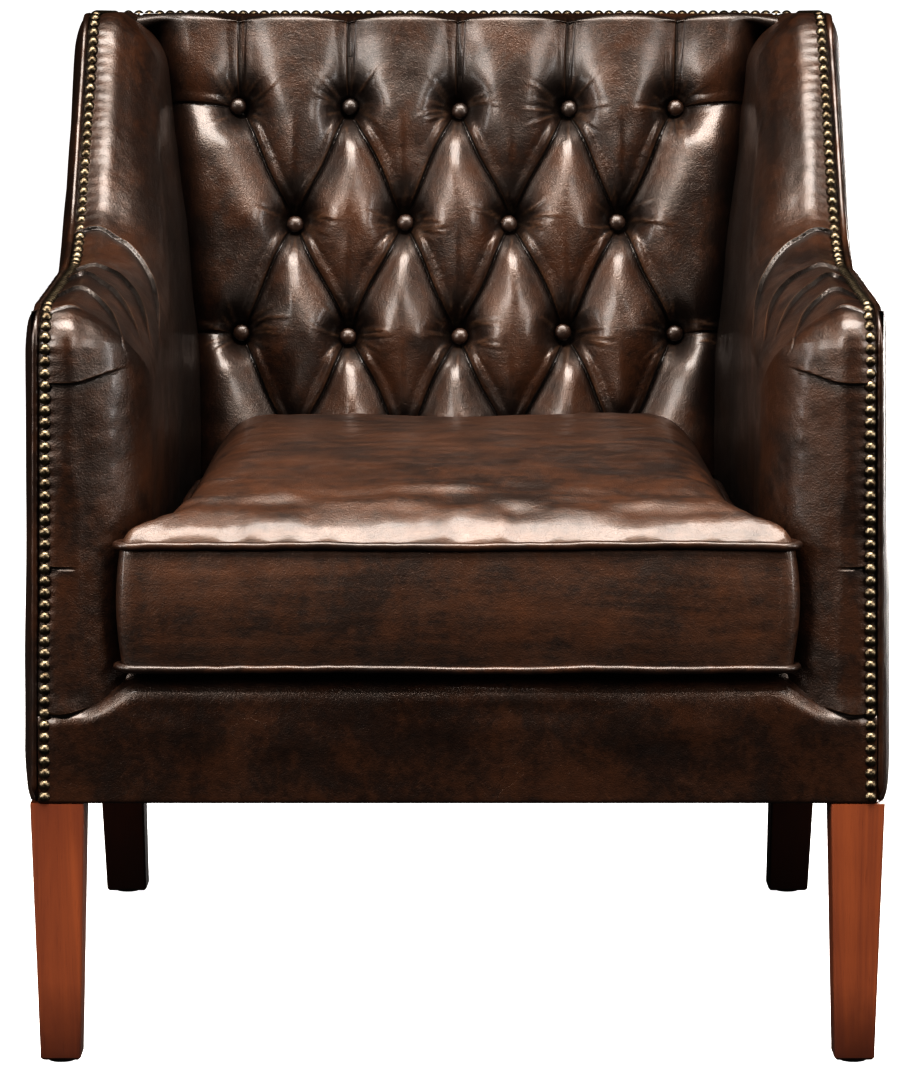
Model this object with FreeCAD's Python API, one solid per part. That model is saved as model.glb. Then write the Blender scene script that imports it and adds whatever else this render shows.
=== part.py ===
"""Button-backed leather armchair with a loose seat cushion, square tapered legs and nailed edges.

Millimetres. +Z up, the floor at Z = 0, the chair faces -Y, left is -X. The origin is on the floor
under the middle of the whole chair. Inside this file "depth" is measured rearwards from the
front face of the arms, and Y = depth - MIDDLE_DEPTH.

The side of the chair is one outline in the depth-height plane. The wooden side frame, the padding,
the leather, the piping and the nail row are all worked out from that outline by insetting it.
"""
import FreeCAD
import Part

import math
import os

Vec = FreeCAD.Vector
os.makedirs("parts", exist_ok=True)

# ---- driving dimensions -------------------------------------------------------------------
HALF_WIDTH = 360.0          # outer face of the side panels at the seat rail
HEIGHT = 884.0              # top of the wings and the back
RAIL_BOTTOM = 225.0         # lower edge of the leather, above the legs
SIDE_LEAN = 0.87            # degrees that each side leans inwards
ARM_FRONT_HEIGHT = 642.0
ARM_REAR_HEIGHT = 664.0
WING_FOOT = 300.0           # depth where the arm turns up into the wing
WING_TOP = 450.0            # depth of the wing's top front corner
TOP_REAR = 684.0            # depth of the outside back at the top
BOTTOM_REAR = 655.0         # and at the seat rail
FACING_BOTTOM = 302.0       # seam between the front border and the arm facings
FACING_TOP = 423.0          # seam between the facings and the inside arms
ARM_INNER = 256.0           # inner face of the arms at seat level
WING_INNER = 292.0          # inner face of the wings at the top
ARM_INNER_UPRIGHT_TO = 540.0
ARM_FRONT_ROUND = 90.0      # plan radius of the arm's inner front corner
LEATHER = 1.5
RIM_PADDING = 12.0          # leather and wadding over the edge of the side frame
BOARD = 25.0                # thickness of the side frame's boards
SEAT_FRONT = -2.0          # depth of the cushion's front face
SEAT_REAR = 474.0
CUSHION_FRONT_HALF = 295.0
CUSHION_HALF = 241.0
CUSHION_NECK = 52.0         # depth where the cushion's flare meets its straight sides
CUSHION_BOTTOM = 336.7
CUSHION_LOWER_SEAM = 341.0
CUSHION_UPPER_SEAM = 445.0
CUSHION_CROWN = 80.0
CUSHION_PIPING = 3.5        # radius
DECK_TOP = 336.3
RAIL_TOP = 312.0
FRAME_BOTTOM = 226.7
BACK_FOOT = (482.0, 449.5)  # depth and height of the inside back's lower front edge
BACK_HEAD = 548.0           # depth of its top front edge
BACK_THICKNESS = 80.0
BUTTON_PITCH = 104.0
BUTTON_ROWS = (798.0, 690.5, 583.0, 475.5)
BUTTON_RADIUS = 9.5
POCKET_DEPTH = 34.0
NAIL_PITCH = 10.2
NAIL_RADIUS = 4.8
NAIL_LENGTH = 16.0
NAIL_FROM_SIDE = 13.0
FOOT_REAR = 713.0           # depth of the rear feet's back face
GLIDE = 3.0
FOOT_CHAMFER = 2.0

FRONTMOST = SEAT_FRONT - 2 * CUSHION_PIPING - 0.3
MIDDLE_DEPTH = (FRONTMOST + FOOT_REAR) / 2
SHELL_OUTER = HALF_WIDTH - 8.0       # where the inside leather stops, short of the outside panel
PANEL_INNER = HALF_WIDTH - 3.8
BOARD_OUTER = HALF_WIDTH - 4.0
BOARD_INNER = BOARD_OUTER - BOARD
REAR_SLOPE = (TOP_REAR - BOTTOM_REAR) / (HEIGHT - RAIL_BOTTOM)
BACK_SLOPE = (BACK_HEAD - BACK_FOOT[0]) / (HEIGHT - BACK_FOOT[1])

# The side outline: (depth, height, corner radius), anticlockwise seen from -X with depth to the right.
SIDE_OUTLINE = [
    (3.0, RAIL_BOTTOM, 0.0),
    (BOTTOM_REAR, RAIL_BOTTOM, 0.0),
    (TOP_REAR, HEIGHT, 12.0),
    (WING_TOP, HEIGHT, 36.0),
    (WING_FOOT, ARM_REAR_HEIGHT, 120.0),
    (-1.0, ARM_FRONT_HEIGHT, 36.0),
]
REAR_EDGE = 1               # index of the outline's rear edge, from point 1 to point 2
BOTTOM_EDGE = 0


# ---- outlines -----------------------------------------------------------------------------
def inset_outline(outline, insets):
    """The closed outline with each edge moved inwards by its own inset. Corner radii follow."""
    count = len(outline)
    lines = []
    for i, (a, b, _) in enumerate(outline):
        c, d, _ = outline[(i + 1) % count]
        length = math.hypot(c - a, d - b)
        along = ((c - a) / length, (d - b) / length)
        start = (a - along[1] * insets[i], b + along[0] * insets[i])
        lines.append((start, along))
    result = []
    for i in range(count):
        (p, u), (q, v) = lines[i - 1], lines[i]
        turn = u[0] * v[1] - u[1] * v[0]
        t = ((q[0] - p[0]) * v[1] - (q[1] - p[1]) * v[0]) / turn
        inset = max(insets[i - 1], insets[i])
        radius = outline[i][2]
        if radius:
            radius = radius - inset if turn > 0 else radius + inset
        result.append((p[0] + t * u[0], p[1] + t * u[1], max(radius, 0.0)))
    return result


def rounded_edges(points, place, closed=True):
    """Lines and tangent arcs through (a, b, radius) points. place maps (a, b) to a 3-D point."""
    count = len(points)
    trimmed = []
    for i, (a, b, radius) in enumerate(points):
        if radius < 0.01 or (not closed and i in (0, count - 1)):
            trimmed.append(((a, b), None, (a, b)))
            continue
        before, after = points[i - 1], points[(i + 1) % count]
        u = unit(before[0] - a, before[1] - b)
        v = unit(after[0] - a, after[1] - b)
        half = math.acos(max(-1.0, min(1.0, u[0] * v[0] + u[1] * v[1]))) / 2
        back = radius / math.tan(half)
        middle = unit(u[0] + v[0], u[1] + v[1])
        reach = radius / math.sin(half) - radius
        trimmed.append((
            (a + u[0] * back, b + u[1] * back),
            (a + middle[0] * reach, b + middle[1] * reach),
            (a + v[0] * back, b + v[1] * back),
        ))
    edges = []
    for i, (enter, middle, leave) in enumerate(trimmed):
        if middle:
            edges.append(Part.Arc(place(*enter), place(*middle), place(*leave)).toShape())
        if closed or i < count - 1:
            nearby = trimmed[(i + 1) % count][0]
            if math.hypot(nearby[0] - leave[0], nearby[1] - leave[1]) > 1e-4:
                edges.append(Part.makeLine(place(*leave), place(*nearby)))
    return edges


def unit(a, b):
    length = math.hypot(a, b)
    return a / length, b / length


def side_point(x):
    """Places (depth, height) in the plane at x."""
    return lambda depth, height: Vec(x, depth - MIDDLE_DEPTH, height)


def plan_point(z):
    """Places (x, depth) in the plane at z."""
    return lambda x, depth: Vec(x, depth - MIDDLE_DEPTH, z)


def side_prism(outline, x_from, x_to):
    face = Part.Face(Part.Wire(rounded_edges(outline, side_point(x_from))))
    return face.extrude(Vec(x_to - x_from, 0, 0))


def plan_prism(outline, z_from, z_to):
    face = Part.Face(Part.Wire(rounded_edges(outline, plan_point(z_from))))
    return face.extrude(Vec(0, 0, z_to - z_from))


def block(x, depth, z):
    """A box from (low, high) pairs."""
    corner = Vec(x[0], depth[0] - MIDDLE_DEPTH, z[0])
    return Part.makeBox(x[1] - x[0], depth[1] - depth[0], z[1] - z[0], corner)


def sharp(points):
    return [(a, b, 0.0) for a, b in points]


def both_sides(shape):
    """The mirror image for the right-hand side."""
    return shape.mirror(Vec(0, 0, 0), Vec(1, 0, 0))


def lean(shape):
    """Leans a left-hand shape inwards about the lower edge of its side panel."""
    leant = shape.copy()
    leant.rotate(Vec(-HALF_WIDTH, 0, RAIL_BOTTOM), Vec(0, 1, 0), SIDE_LEAN)
    return leant


def tube(edges, radius):
    path = Part.Wire(edges)
    start = path.Edges[0].valueAt(path.Edges[0].FirstParameter)
    along = path.Edges[0].tangentAt(path.Edges[0].FirstParameter)
    ring = Part.Wire(Part.makeCircle(radius, start, along))
    return path.makePipeShell([ring], True, False)


def save(name, *shapes):
    solids = [solid for shape in shapes for solid in shape.Solids]
    shape = solids[0] if len(solids) == 1 else Part.makeCompound(solids)
    shape.exportStep(f"parts/{name}.step")
    bounds = shape.BoundBox
    print(
        f"{name:22s} {len(solids):3d} solids  valid {shape.isValid()}"
        f"  X {bounds.XMin:7.1f} {bounds.XMax:7.1f}  Y {bounds.YMin:7.1f} {bounds.YMax:7.1f}"
        f"  Z {bounds.ZMin:6.1f} {bounds.ZMax:6.1f}  {shape.Volume / 1000:9.1f} cm3"
    )
    return shape


def save_pair(name, left):
    save(f"{name}_left", left)
    save(f"{name}_right", both_sides(left))


# ---- the side frame -----------------------------------------------------------------------
def side_board():
    """The whole side frame as one leaning board, before it is cut into its members."""
    insets = [RIM_PADDING] * len(SIDE_OUTLINE)
    insets[BOTTOM_EDGE] = 0.0
    insets[REAR_EDGE] = 8.0
    board = lean(side_prism(inset_outline(SIDE_OUTLINE, insets), -BOARD_OUTER, -BOARD_INNER))
    return board.common(block((-HALF_WIDTH, 0), (-50, 900), (FRAME_BOTTOM, 1000)))


POST_DEPTH = 57.0
POST_TOP = 598.0
BACK_POST = 46.0


def rear_band(thickness, start):
    """Everything between two lines parallel to the outside back, in a side view."""
    low, high = FRAME_BOTTOM - 20, HEIGHT + 20

    def rear(z):
        return BOTTOM_REAR + REAR_SLOPE * (z - RAIL_BOTTOM) - start

    corners = [
        (rear(low) - thickness, low),
        (rear(low), low),
        (rear(high), high),
        (rear(high) - thickness, high),
    ]
    return side_prism(sharp(corners), -HALF_WIDTH - 50, HALF_WIDTH + 50)


def build_side_frame():
    board = side_board()
    wide = (-HALF_WIDTH - 50, 0)
    post_band = rear_band(BACK_POST, 8.0)
    back_post = board.common(post_band)
    rest = board.cut(post_band)
    members = {
        "arm_post": rest.common(block(wide, (-50, POST_DEPTH), (0, POST_TOP))),
        "side_rail": rest.common(block(wide, (POST_DEPTH, 900), (0, RAIL_TOP))),
        "arm_board": rest.common(block(wide, (-50, WING_FOOT + 35), (POST_TOP, 1000))),
        "wing_board": rest.common(block(wide, (WING_FOOT + 35, 900), (POST_TOP, 1000))),
        "back_post": back_post,
    }
    for name, member in members.items():
        save_pair(name, member)
    return board


# ---- arms and wings -----------------------------------------------------------------------
def arm_body(inset, outer):
    """The padded arm and wing of the left side, inset from its leather. The bottom and rear stay open."""
    insets = [inset] * len(SIDE_OUTLINE)
    insets[BOTTOM_EDGE] = FACING_BOTTOM - RAIL_BOTTOM - inset
    insets[REAR_EDGE] = 7.0 - inset
    solid = side_prism(inset_outline(SIDE_OUTLINE, insets), -outer, 0)
    low, high = ARM_INNER + inset, WING_INNER + inset
    plan = [
        (-outer - 1, -20.0, 0.0),
        (-low - ARM_FRONT_ROUND + inset, -20.0, 0.0),
        (-low - ARM_FRONT_ROUND + inset, -1.0 + inset, 0.0),
        (-low, -1.0 + inset, ARM_FRONT_ROUND - inset),
        (-low, 900.0, 0.0),
        (-outer - 1, 900.0, 0.0),
    ]
    solid = solid.common(plan_prism(plan, 0, 1000))
    wedge = [
        (-low, ARM_INNER_UPRIGHT_TO), (-high, HEIGHT), (-high, 1000.0), (10.0, 1000.0),
        (10.0, ARM_INNER_UPRIGHT_TO),
    ]
    corners = [Vec(x, -400, z) for x, z in wedge]
    face = Part.Face(Part.makePolygon(corners + corners[:1]))
    return solid.cut(face.extrude(Vec(0, 900, 0)))


def build_arms(board, cross_members):
    body = lean(arm_body(0.0, SHELL_OUTER))
    inside = lean(arm_body(LEATHER, SHELL_OUTER + 20))
    skin, padding = body.cut(inside), inside.common(body)
    for member in [board] + cross_members:
        skin, padding = skin.cut(member), padding.cut(member)
    facing_zone = lean(block((-400, 0), (-20, ARM_FRONT_ROUND), (FACING_BOTTOM - 5, FACING_TOP)))
    save_pair("arm_facing", skin.common(facing_zone))
    save_pair("arm_cover", skin.cut(facing_zone))
    save_pair("arm_pad", padding)
    return body


# ---- cross members, corner blocks and screws ----------------------------------------------
RAIL_FRONT = 16.0
RAIL_THICK = 25.0
CREST = (642.0, 672.0)
LOWER_RAIL = (560.0, 585.0)


def build_cross_members(board):
    inner = BOARD_INNER + 8.0
    boards = [board, both_sides(board)]
    rail_heights = (FRAME_BOTTOM, RAIL_TOP)
    pieces = {
        "front_seat_rail": block((-inner, inner), (RAIL_FRONT, RAIL_FRONT + RAIL_THICK), rail_heights),
        "rear_seat_rail": block((-inner, inner), (BOTTOM_REAR - 42, BOTTOM_REAR - 14), rail_heights),
        "crest_rail": block((-inner, inner), CREST, (834.0, HEIGHT - RIM_PADDING - 2)),
        "lower_back_rail": block((-inner, inner), LOWER_RAIL, (385.0, 440.0)),
    }
    result = []
    for name, shape in pieces.items():
        for side in boards:
            shape = shape.cut(side)
        result.append(save(name, shape))
    return result


def build_corner_blocks():
    """Glued blocks across the four inside corners of the seat frame, with two screws each."""
    low, high = FRAME_BOTTOM + 8, RAIL_TOP - 12
    leg = 62.0
    side = BOARD_INNER - 1.5
    front = RAIL_FRONT + RAIL_THICK
    rear = BOTTOM_REAR - 42
    blocks, screws = [], []
    for depth, way in ((front, 1), (rear, -1)):
        corner = [
            (-side, depth), (-side + leg, depth), (-side + leg, depth + way * 12),
            (-side + 12, depth + way * leg), (-side, depth + way * leg),
        ]
        shape = plan_prism(sharp(corner), low, high)
        blocks += [shape, both_sides(shape)]
        for height in (low + 18, high - 18):
            start = Vec(-side + 36, depth + way * 36 - MIDDLE_DEPTH, height)
            screw = Part.makeCylinder(2.2, 58, start, Vec(0.25, -way, 0))
            head = Part.makeCone(4.2, 2.2, 3, start, Vec(0.25, -way, 0))
            screw = screw.fuse(head)
            screws += [screw, both_sides(screw)]
    save("corner_blocks", *blocks)
    save("corner_block_screws", *screws)


# ---- legs ---------------------------------------------------------------------------------
def rectangle(x, depth, z, radius):
    corners = [(x[0], depth[0]), (x[1], depth[0]), (x[1], depth[1]), (x[0], depth[1])]
    outline = [(a, b, radius) for a, b in corners]
    return Part.Wire(rounded_edges(outline, plan_point(z)))


def build_legs():
    outer = HALF_WIDTH - 0.8
    shapes = {
        "front_leg": (((-outer, -outer + 45.5), (3.5, 49.0)), ((-outer + 5.5, -outer + 39.5), (8.0, 42.0))),
        "rear_leg": (((-outer, -outer + 45.5), (606.0, 651.0)),
                     ((-outer + 4.5, -outer + 44.0), (FOOT_REAR - 40, FOOT_REAR))),
    }
    bolts, plates, glides = [], [], []
    for name, (top, foot) in shapes.items():
        sole = [(low + FOOT_CHAMFER, high - FOOT_CHAMFER) for low, high in foot]
        sections = [
            rectangle(*sole, GLIDE, 1.0),
            rectangle(*foot, GLIDE + FOOT_CHAMFER, 2.5),
            rectangle(*top, RAIL_BOTTOM, 2.5),
        ]
        save_pair(name, Part.makeLoft(sections, True, True))
        x = sum(top[0]) / 2
        depth = sum(top[1]) / 2
        shank = Part.makeCylinder(4.0, 78, Vec(x, depth - MIDDLE_DEPTH, FRAME_BOTTOM - 38))
        bolts += [shank, both_sides(shank)]
        plate = block((x - 17, x + 17), (depth - 12, depth + 18), (RAIL_BOTTOM, FRAME_BOTTOM))
        plate = plate.cut(Part.makeCylinder(4.4, 78, Vec(x, depth - MIDDLE_DEPTH, FRAME_BOTTOM - 38)))
        plates += [plate, both_sides(plate)]
        foot_x, foot_depth = sum(foot[0]) / 2, sum(foot[1]) / 2
        glide = Part.makeCylinder(12.0, GLIDE, Vec(foot_x, foot_depth - MIDDLE_DEPTH, 0))
        glide = glide.makeFillet(0.8, [edge for edge in glide.Edges if edge.BoundBox.ZMax < 0.1])
        glides += [glide, both_sides(glide)]
        print(f"{name} foot centre X {foot_x:.2f} Y {foot_depth - MIDDLE_DEPTH:.2f}")
    save("leg_bolts", *bolts)
    save("leg_plates", *plates)
    save("leg_glides", *glides)


# ---- suspension ---------------------------------------------------------------------------
SPRING_WIRE = 1.8
SPRING_LOOP = 12.0
SPRING_HALF = 20.0
SPRING_FROM, SPRING_TO = 40.0, 606.0
SPRING_Z = RAIL_TOP + 3.4
SPRING_PLACES = (-200.0, -100.0, 0.0, 100.0, 200.0)


def zigzag_spring(x):
    """A sinuous spring: straight runs across, joined by half-round loops."""
    place = plan_point(SPRING_Z)
    edges = []
    depth, side = SPRING_FROM, 1
    while depth < SPRING_TO - SPRING_LOOP:
        near, far = x - side * SPRING_HALF, x + side * SPRING_HALF
        edges.append(Part.makeLine(place(near, depth), place(far, depth)))
        bend = (far + side * SPRING_LOOP / 2, depth + SPRING_LOOP / 2)
        edges.append(Part.Arc(place(far, depth), place(*bend), place(far, depth + SPRING_LOOP)).toShape())
        depth += SPRING_LOOP
        side = -side
    edges.append(Part.makeLine(place(x - side * SPRING_HALF, depth), place(x + side * SPRING_HALF, depth)))
    return tube(edges, SPRING_WIRE)


def build_suspension():
    save("seat_springs", *[zigzag_spring(x) for x in SPRING_PLACES])
    clips = []
    for x in SPRING_PLACES:
        for depth, way in ((SPRING_FROM - 5, 1), (SPRING_TO + 11, -1)):
            foot = block((x - 14, x + 14), (depth - 6, depth + 6), (RAIL_TOP + 0.1, RAIL_TOP + 1.3))
            clips.append(foot)
    save("spring_clips", *clips)
    save("seat_hessian", block((-250, 250), (42, 606), (SPRING_Z + 2.2, SPRING_Z + 3.2)))

    # Webbing on the front of the back rails, uprights in front of the cross straps.
    rear = BACK_FOOT[0] + BACK_THICKNESS

    def strap(x, heights, gap):
        z0, z1 = heights
        near = [rear + BACK_SLOPE * (z - BACK_FOOT[1]) + gap for z in (z0, z1)]
        return side_prism(sharp([(near[0], z0), (near[0] + 1.2, z0), (near[1] + 1.2, z1), (near[1], z1)]), *x)

    straps = [strap((x - 25, x + 25), (452.0, 866.0), 1.0) for x in (-195.0, -65.0, 65.0, 195.0)]
    across = (-WING_INNER + 42, WING_INNER - 42)
    straps += [strap(across, (z - 25, z + 25), 2.6) for z in (530.0, 640.0, 750.0)]
    save("back_webbing", *straps)


# ---- seat deck and front border -----------------------------------------------------------
FRONT_HALF = SHELL_OUTER - 1.5


def front_roll(inset, rear):
    """The rounded front edge, in front of the rail and over the top of it."""
    top = DECK_TOP - 1.5 - inset
    outline = [
        (inset, RAIL_BOTTOM + inset, 0.0),
        (RIM_PADDING, RAIL_BOTTOM + inset, 0.0),
        (RIM_PADDING, RAIL_TOP + 0.3, 0.0),
        (rear, RAIL_TOP + 0.3, 0.0),
        (rear, top, 0.0),
        (inset, top, 22.0 - inset),
    ]
    roll = side_prism(outline, -FRONT_HALF, FRONT_HALF)
    for x in ((-400, -FRONT_HALF + 6), (FRONT_HALF - 6, 400)):
        roll = roll.cut(block(x, (-50, 100), (FACING_BOTTOM - 0.5, 400)))
    return roll


def build_deck(arm):
    arms = [arm, both_sides(arm)]
    skin = front_roll(0.0, 29.0).cut(front_roll(LEATHER, 29.1))
    pad = front_roll(LEATHER, 29.0)
    deck = block((-ARM_INNER + 3, ARM_INNER - 3), (29.4, 606), (SPRING_Z + 3.6, DECK_TOP - 1.8))
    cover = block((-ARM_INNER + 3, ARM_INNER - 3), (29.4, 606), (DECK_TOP - 1.5, DECK_TOP))
    for side in arms:
        skin, pad = skin.cut(side), pad.cut(side)
    save("front_border", skin)
    save("front_edge_roll", pad)
    save("deck_pad", deck)
    save("deck_cover", cover)


def build_dust_cover():
    heights = (FRAME_BOTTOM - 1.6, FRAME_BOTTOM - 0.4)
    sheet = block((-HALF_WIDTH + 9, HALF_WIDTH - 9), (14, BOTTOM_REAR - 9), heights)
    for depth in ((0, 52), (602, 660)):
        for x in ((-HALF_WIDTH, -HALF_WIDTH + 49), (HALF_WIDTH - 49, HALF_WIDTH)):
            sheet = sheet.cut(block(x, depth, (200, 260)))
    save("dust_cover", sheet)


# ---- inside back --------------------------------------------------------------------------
def back_front(z):
    return BACK_FOOT[0] + BACK_SLOPE * (z - BACK_FOOT[1])


def button_places():
    """(x, height) of every button: rows of five and four, half a pitch apart."""
    places = []
    for row, height in enumerate(BUTTON_ROWS):
        count = 5 if row % 2 == 0 else 4
        places += [((i - (count - 1) / 2) * BUTTON_PITCH, height) for i in range(count)]
    return places


def back_normal():
    length = math.hypot(1.0, BACK_SLOPE)
    return Vec(0, -1.0 / length, BACK_SLOPE / length)


def button_base(x, height, sunk):
    """The point under a button, sunk below the front plane of the back."""
    surface = Vec(x, back_front(height) - MIDDLE_DEPTH, height)
    return surface - back_normal() * sunk


def back_body(inset):
    """The padded inside back, running over the top rail, with a pocket for each button."""
    top = HEIGHT - inset
    rear_top = TOP_REAR - 8.0
    foot = (BACK_FOOT[0] + inset * 1.01, BACK_FOOT[1])
    outline = [
        (*foot, 0.0),
        (foot[0] + BACK_THICKNESS - inset, BACK_FOOT[1], 0.0),
        (back_front(HEIGHT - RIM_PADDING) + BACK_THICKNESS, HEIGHT - RIM_PADDING + 0.3, 0.0),
        (rear_top, HEIGHT - RIM_PADDING + 0.3, 0.0),
        (rear_top, top, 4.0),
        (BACK_HEAD + inset, top, 20.0),
    ]
    solid = side_prism(outline, -WING_INNER - 20, WING_INNER + 20)
    pockets = []
    for x, height in button_places():
        base = button_base(x, height, POCKET_DEPTH + inset)
        depth = POCKET_DEPTH + inset + 10
        pockets.append(Part.makeCone(12.0 + inset, 12.0 + inset + depth * 0.28, depth, base, back_normal()))
    return solid.cut(Part.makeCompound(pockets))


BUTTON_RIM = 3.0
BUTTON_DOME = 4.5
TWINE_RADIUS = 0.9


def build_back(arm):
    arms = [arm, both_sides(arm)]
    outer, inner = back_body(0.0), back_body(LEATHER)
    for side in arms:
        outer, inner = outer.cut(side), inner.cut(side)
    save("back_cover", outer.cut(inner))
    save("back_pad", inner.common(outer))

    buttons, twines = [], []
    for x, height in button_places():
        base = button_base(x, height, POCKET_DEPTH - 0.3)
        rim = Part.makeCylinder(BUTTON_RADIUS, BUTTON_RIM, base, back_normal())
        dome_radius = (BUTTON_RADIUS ** 2 + BUTTON_DOME ** 2) / (2 * BUTTON_DOME)
        centre = base + back_normal() * (BUTTON_RIM + BUTTON_DOME - dome_radius)
        dome = Part.makeSphere(dome_radius, centre)
        keep = Part.makeCylinder(BUTTON_RADIUS, 12.0, base, back_normal())
        buttons.append(rim.fuse(dome.common(keep)).removeSplitter())
        tail = BACK_THICKNESS - POCKET_DEPTH - LEATHER
        tail_end = button_base(x, height, POCKET_DEPTH + LEATHER + tail)
        twines.append(Part.makeCylinder(TWINE_RADIUS, tail, tail_end, back_normal()))
    save("back_buttons", *buttons)
    save("button_twines", *twines)


# ---- outside panels, piping and nails -----------------------------------------------------
PIPING = 3.0


def edge_run(inset, last):
    """The side outline inset, as an open run from the front foot up and over, back to index last."""
    outline = inset_outline(SIDE_OUTLINE, [inset] * len(SIDE_OUTLINE))
    return [outline[0]] + outline[:last - 1:-1]


def build_outside():
    insets = [6.3] * len(SIDE_OUTLINE)
    insets[BOTTOM_EDGE] = 0.3
    panel = side_prism(inset_outline(SIDE_OUTLINE, insets), -HALF_WIDTH, -PANEL_INNER)
    save_pair("outside_arm", lean(panel))
    path = edge_run(3.0, 2)
    path[-1] = (path[-1][0] - 6.0, path[-1][1], 0.0)
    edges = rounded_edges(path, side_point(-HALF_WIDTH + 4.2), closed=False)
    save_pair("side_piping", lean(tube(edges, PIPING)))

    # The outside back is a flat panel between the two rear edges, narrower at the top.
    rise = HEIGHT - RAIL_BOTTOM
    shrink = rise * math.tan(math.radians(SIDE_LEAN))
    tilt = math.degrees(math.atan(REAR_SLOPE))

    def panel_at(margin, near, thick):
        low, high = HALF_WIDTH - margin, HALF_WIDTH - margin - shrink
        z0, z1 = RAIL_BOTTOM + 0.3, HEIGHT - margin
        y = BOTTOM_REAR - MIDDLE_DEPTH + near
        corners = [(-low, z0, 0.0), (low, z0, 0.0), (high, z1, 7.0), (-high, z1, 7.0)]
        edges = rounded_edges(corners, lambda x, z: Vec(x, y, z))
        shape = Part.Face(Part.Wire(edges)).extrude(Vec(0, thick, 0))
        shape.rotate(Vec(0, BOTTOM_REAR - MIDDLE_DEPTH, RAIL_BOTTOM), Vec(1, 0, 0), -tilt)
        return shape

    save("outside_back", panel_at(7.6, -3.6, 3.2))

    place = outside_back_point(tilt)
    x_low, x_high = HALF_WIDTH - 4.2, HALF_WIDTH - 4.2 - shrink
    route = [
        (-x_low, RAIL_BOTTOM + 0.3, 0.0), (-x_high, HEIGHT - 4.4, 9.0),
        (x_high, HEIGHT - 4.4, 9.0), (x_low, RAIL_BOTTOM + 0.3, 0.0),
    ]
    edges = rounded_edges(route, lambda x, z: place(x, z, -3.2), closed=False)
    save("back_piping", tube(edges, PIPING))
    return place, shrink


def outside_back_point(tilt):
    """Places (x, height, out) on the plane of the outside back."""
    angle = math.radians(tilt)

    def place(x, z, out):
        up = z - RAIL_BOTTOM
        y = BOTTOM_REAR - MIDDLE_DEPTH + up * math.sin(angle) + out * math.cos(angle)
        return Vec(x, y, RAIL_BOTTOM + up * math.cos(angle) - out * math.sin(angle))
    return place


def nail():
    """A domed nail pointing along +Z, with its head's flat side at Z = 0."""
    rise, shank = 3.0, 0.9
    dome = (NAIL_RADIUS ** 2 + rise ** 2) / (2 * rise)
    side = Vec(math.sin(0.5 * math.asin(NAIL_RADIUS / dome)) * dome, 0, 0)
    side.z = rise - dome + math.sqrt(dome ** 2 - side.x ** 2)
    edges = [
        Part.Arc(Vec(0, 0, rise), side, Vec(NAIL_RADIUS, 0, 0)).toShape(),
        Part.makeLine(Vec(NAIL_RADIUS, 0, 0), Vec(shank, 0, 0)),
        Part.makeLine(Vec(shank, 0, 0), Vec(shank, 0, 3 - NAIL_LENGTH)),
        Part.makeLine(Vec(shank, 0, 3 - NAIL_LENGTH), Vec(0, 0, -NAIL_LENGTH)),
        Part.makeLine(Vec(0, 0, -NAIL_LENGTH), Vec(0, 0, rise)),
    ]
    return Part.Face(Part.Wire(edges)).revolve(Vec(0, 0, 0), Vec(0, 0, 1), 360)


def nail_at(pattern, point, outward):
    shape = pattern.copy()
    shape.Placement = FreeCAD.Placement(point, FreeCAD.Rotation(Vec(0, 0, 1), outward))
    return shape


def build_nails(place, shrink):
    pattern = nail()
    x = -HALF_WIDTH + NAIL_FROM_SIDE
    run = edge_run(0.0, 2)
    run[-1] = (run[-1][0] - 16.0, run[-1][1], 0.0)
    run[0] = (run[0][0], run[0][1] + 6.0, 0.0)
    wire = Part.Wire(rounded_edges(run, side_point(x), closed=False))
    count = round(wire.Length / NAIL_PITCH)
    points = wire.discretize(Number=count + 1)
    nails = []
    for i, point in enumerate(points):
        before, after = points[max(i - 1, 0)], points[min(i + 1, count)]
        along = after - before
        outward = Vec(0, -along.z, along.y)
        nails.append(nail_at(pattern, point, outward))
    save_pair("side_nails", lean(Part.makeCompound(nails)))

    rear = []
    top_half = HALF_WIDTH - NAIL_FROM_SIDE - shrink - 14.0
    count = round(2 * top_half / NAIL_PITCH)
    for i in range(count + 1):
        point = Vec(-top_half + 2 * top_half * i / count, TOP_REAR - 22.0 - MIDDLE_DEPTH, HEIGHT)
        rear.append(nail_at(pattern, point, Vec(0, 0, 1)))
    margin = 16.0
    low, high = RAIL_BOTTOM + 8.0, HEIGHT - margin
    count = round((high - low) / NAIL_PITCH)
    outward = place(0, 0, 1) - place(0, 0, 0)
    for i in range(count + 1):
        z = low + (high - low) * i / count
        half = HALF_WIDTH - margin - shrink * (z - RAIL_BOTTOM) / (HEIGHT - RAIL_BOTTOM)
        rear += [nail_at(pattern, place(side * half, z, 0.0), outward) for side in (-1, 1)]
    save("back_nails", *[solid for shape in rear for solid in shape.Solids])


# ---- seat cushion -------------------------------------------------------------------------
CUSHION_MIDDLE = (SEAT_FRONT + SEAT_REAR) / 2
BORDER_TOP = CUSHION_UPPER_SEAM - 1.5


CROWN_HALF = SEAT_REAR - CUSHION_MIDDLE + 6
CROWN_RADIUS = (CROWN_HALF ** 2 + CUSHION_CROWN ** 2) / (2 * CUSHION_CROWN)


def cushion_outline(inset):
    outline = [
        (-CUSHION_FRONT_HALF, SEAT_FRONT, 10.0), (CUSHION_FRONT_HALF, SEAT_FRONT, 10.0),
        (CUSHION_HALF, CUSHION_NECK, 50.0), (CUSHION_HALF, SEAT_REAR, 42.0),
        (-CUSHION_HALF, SEAT_REAR, 42.0), (-CUSHION_HALF, CUSHION_NECK, 50.0),
    ]
    return inset_outline(outline, [inset] * len(outline))


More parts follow.
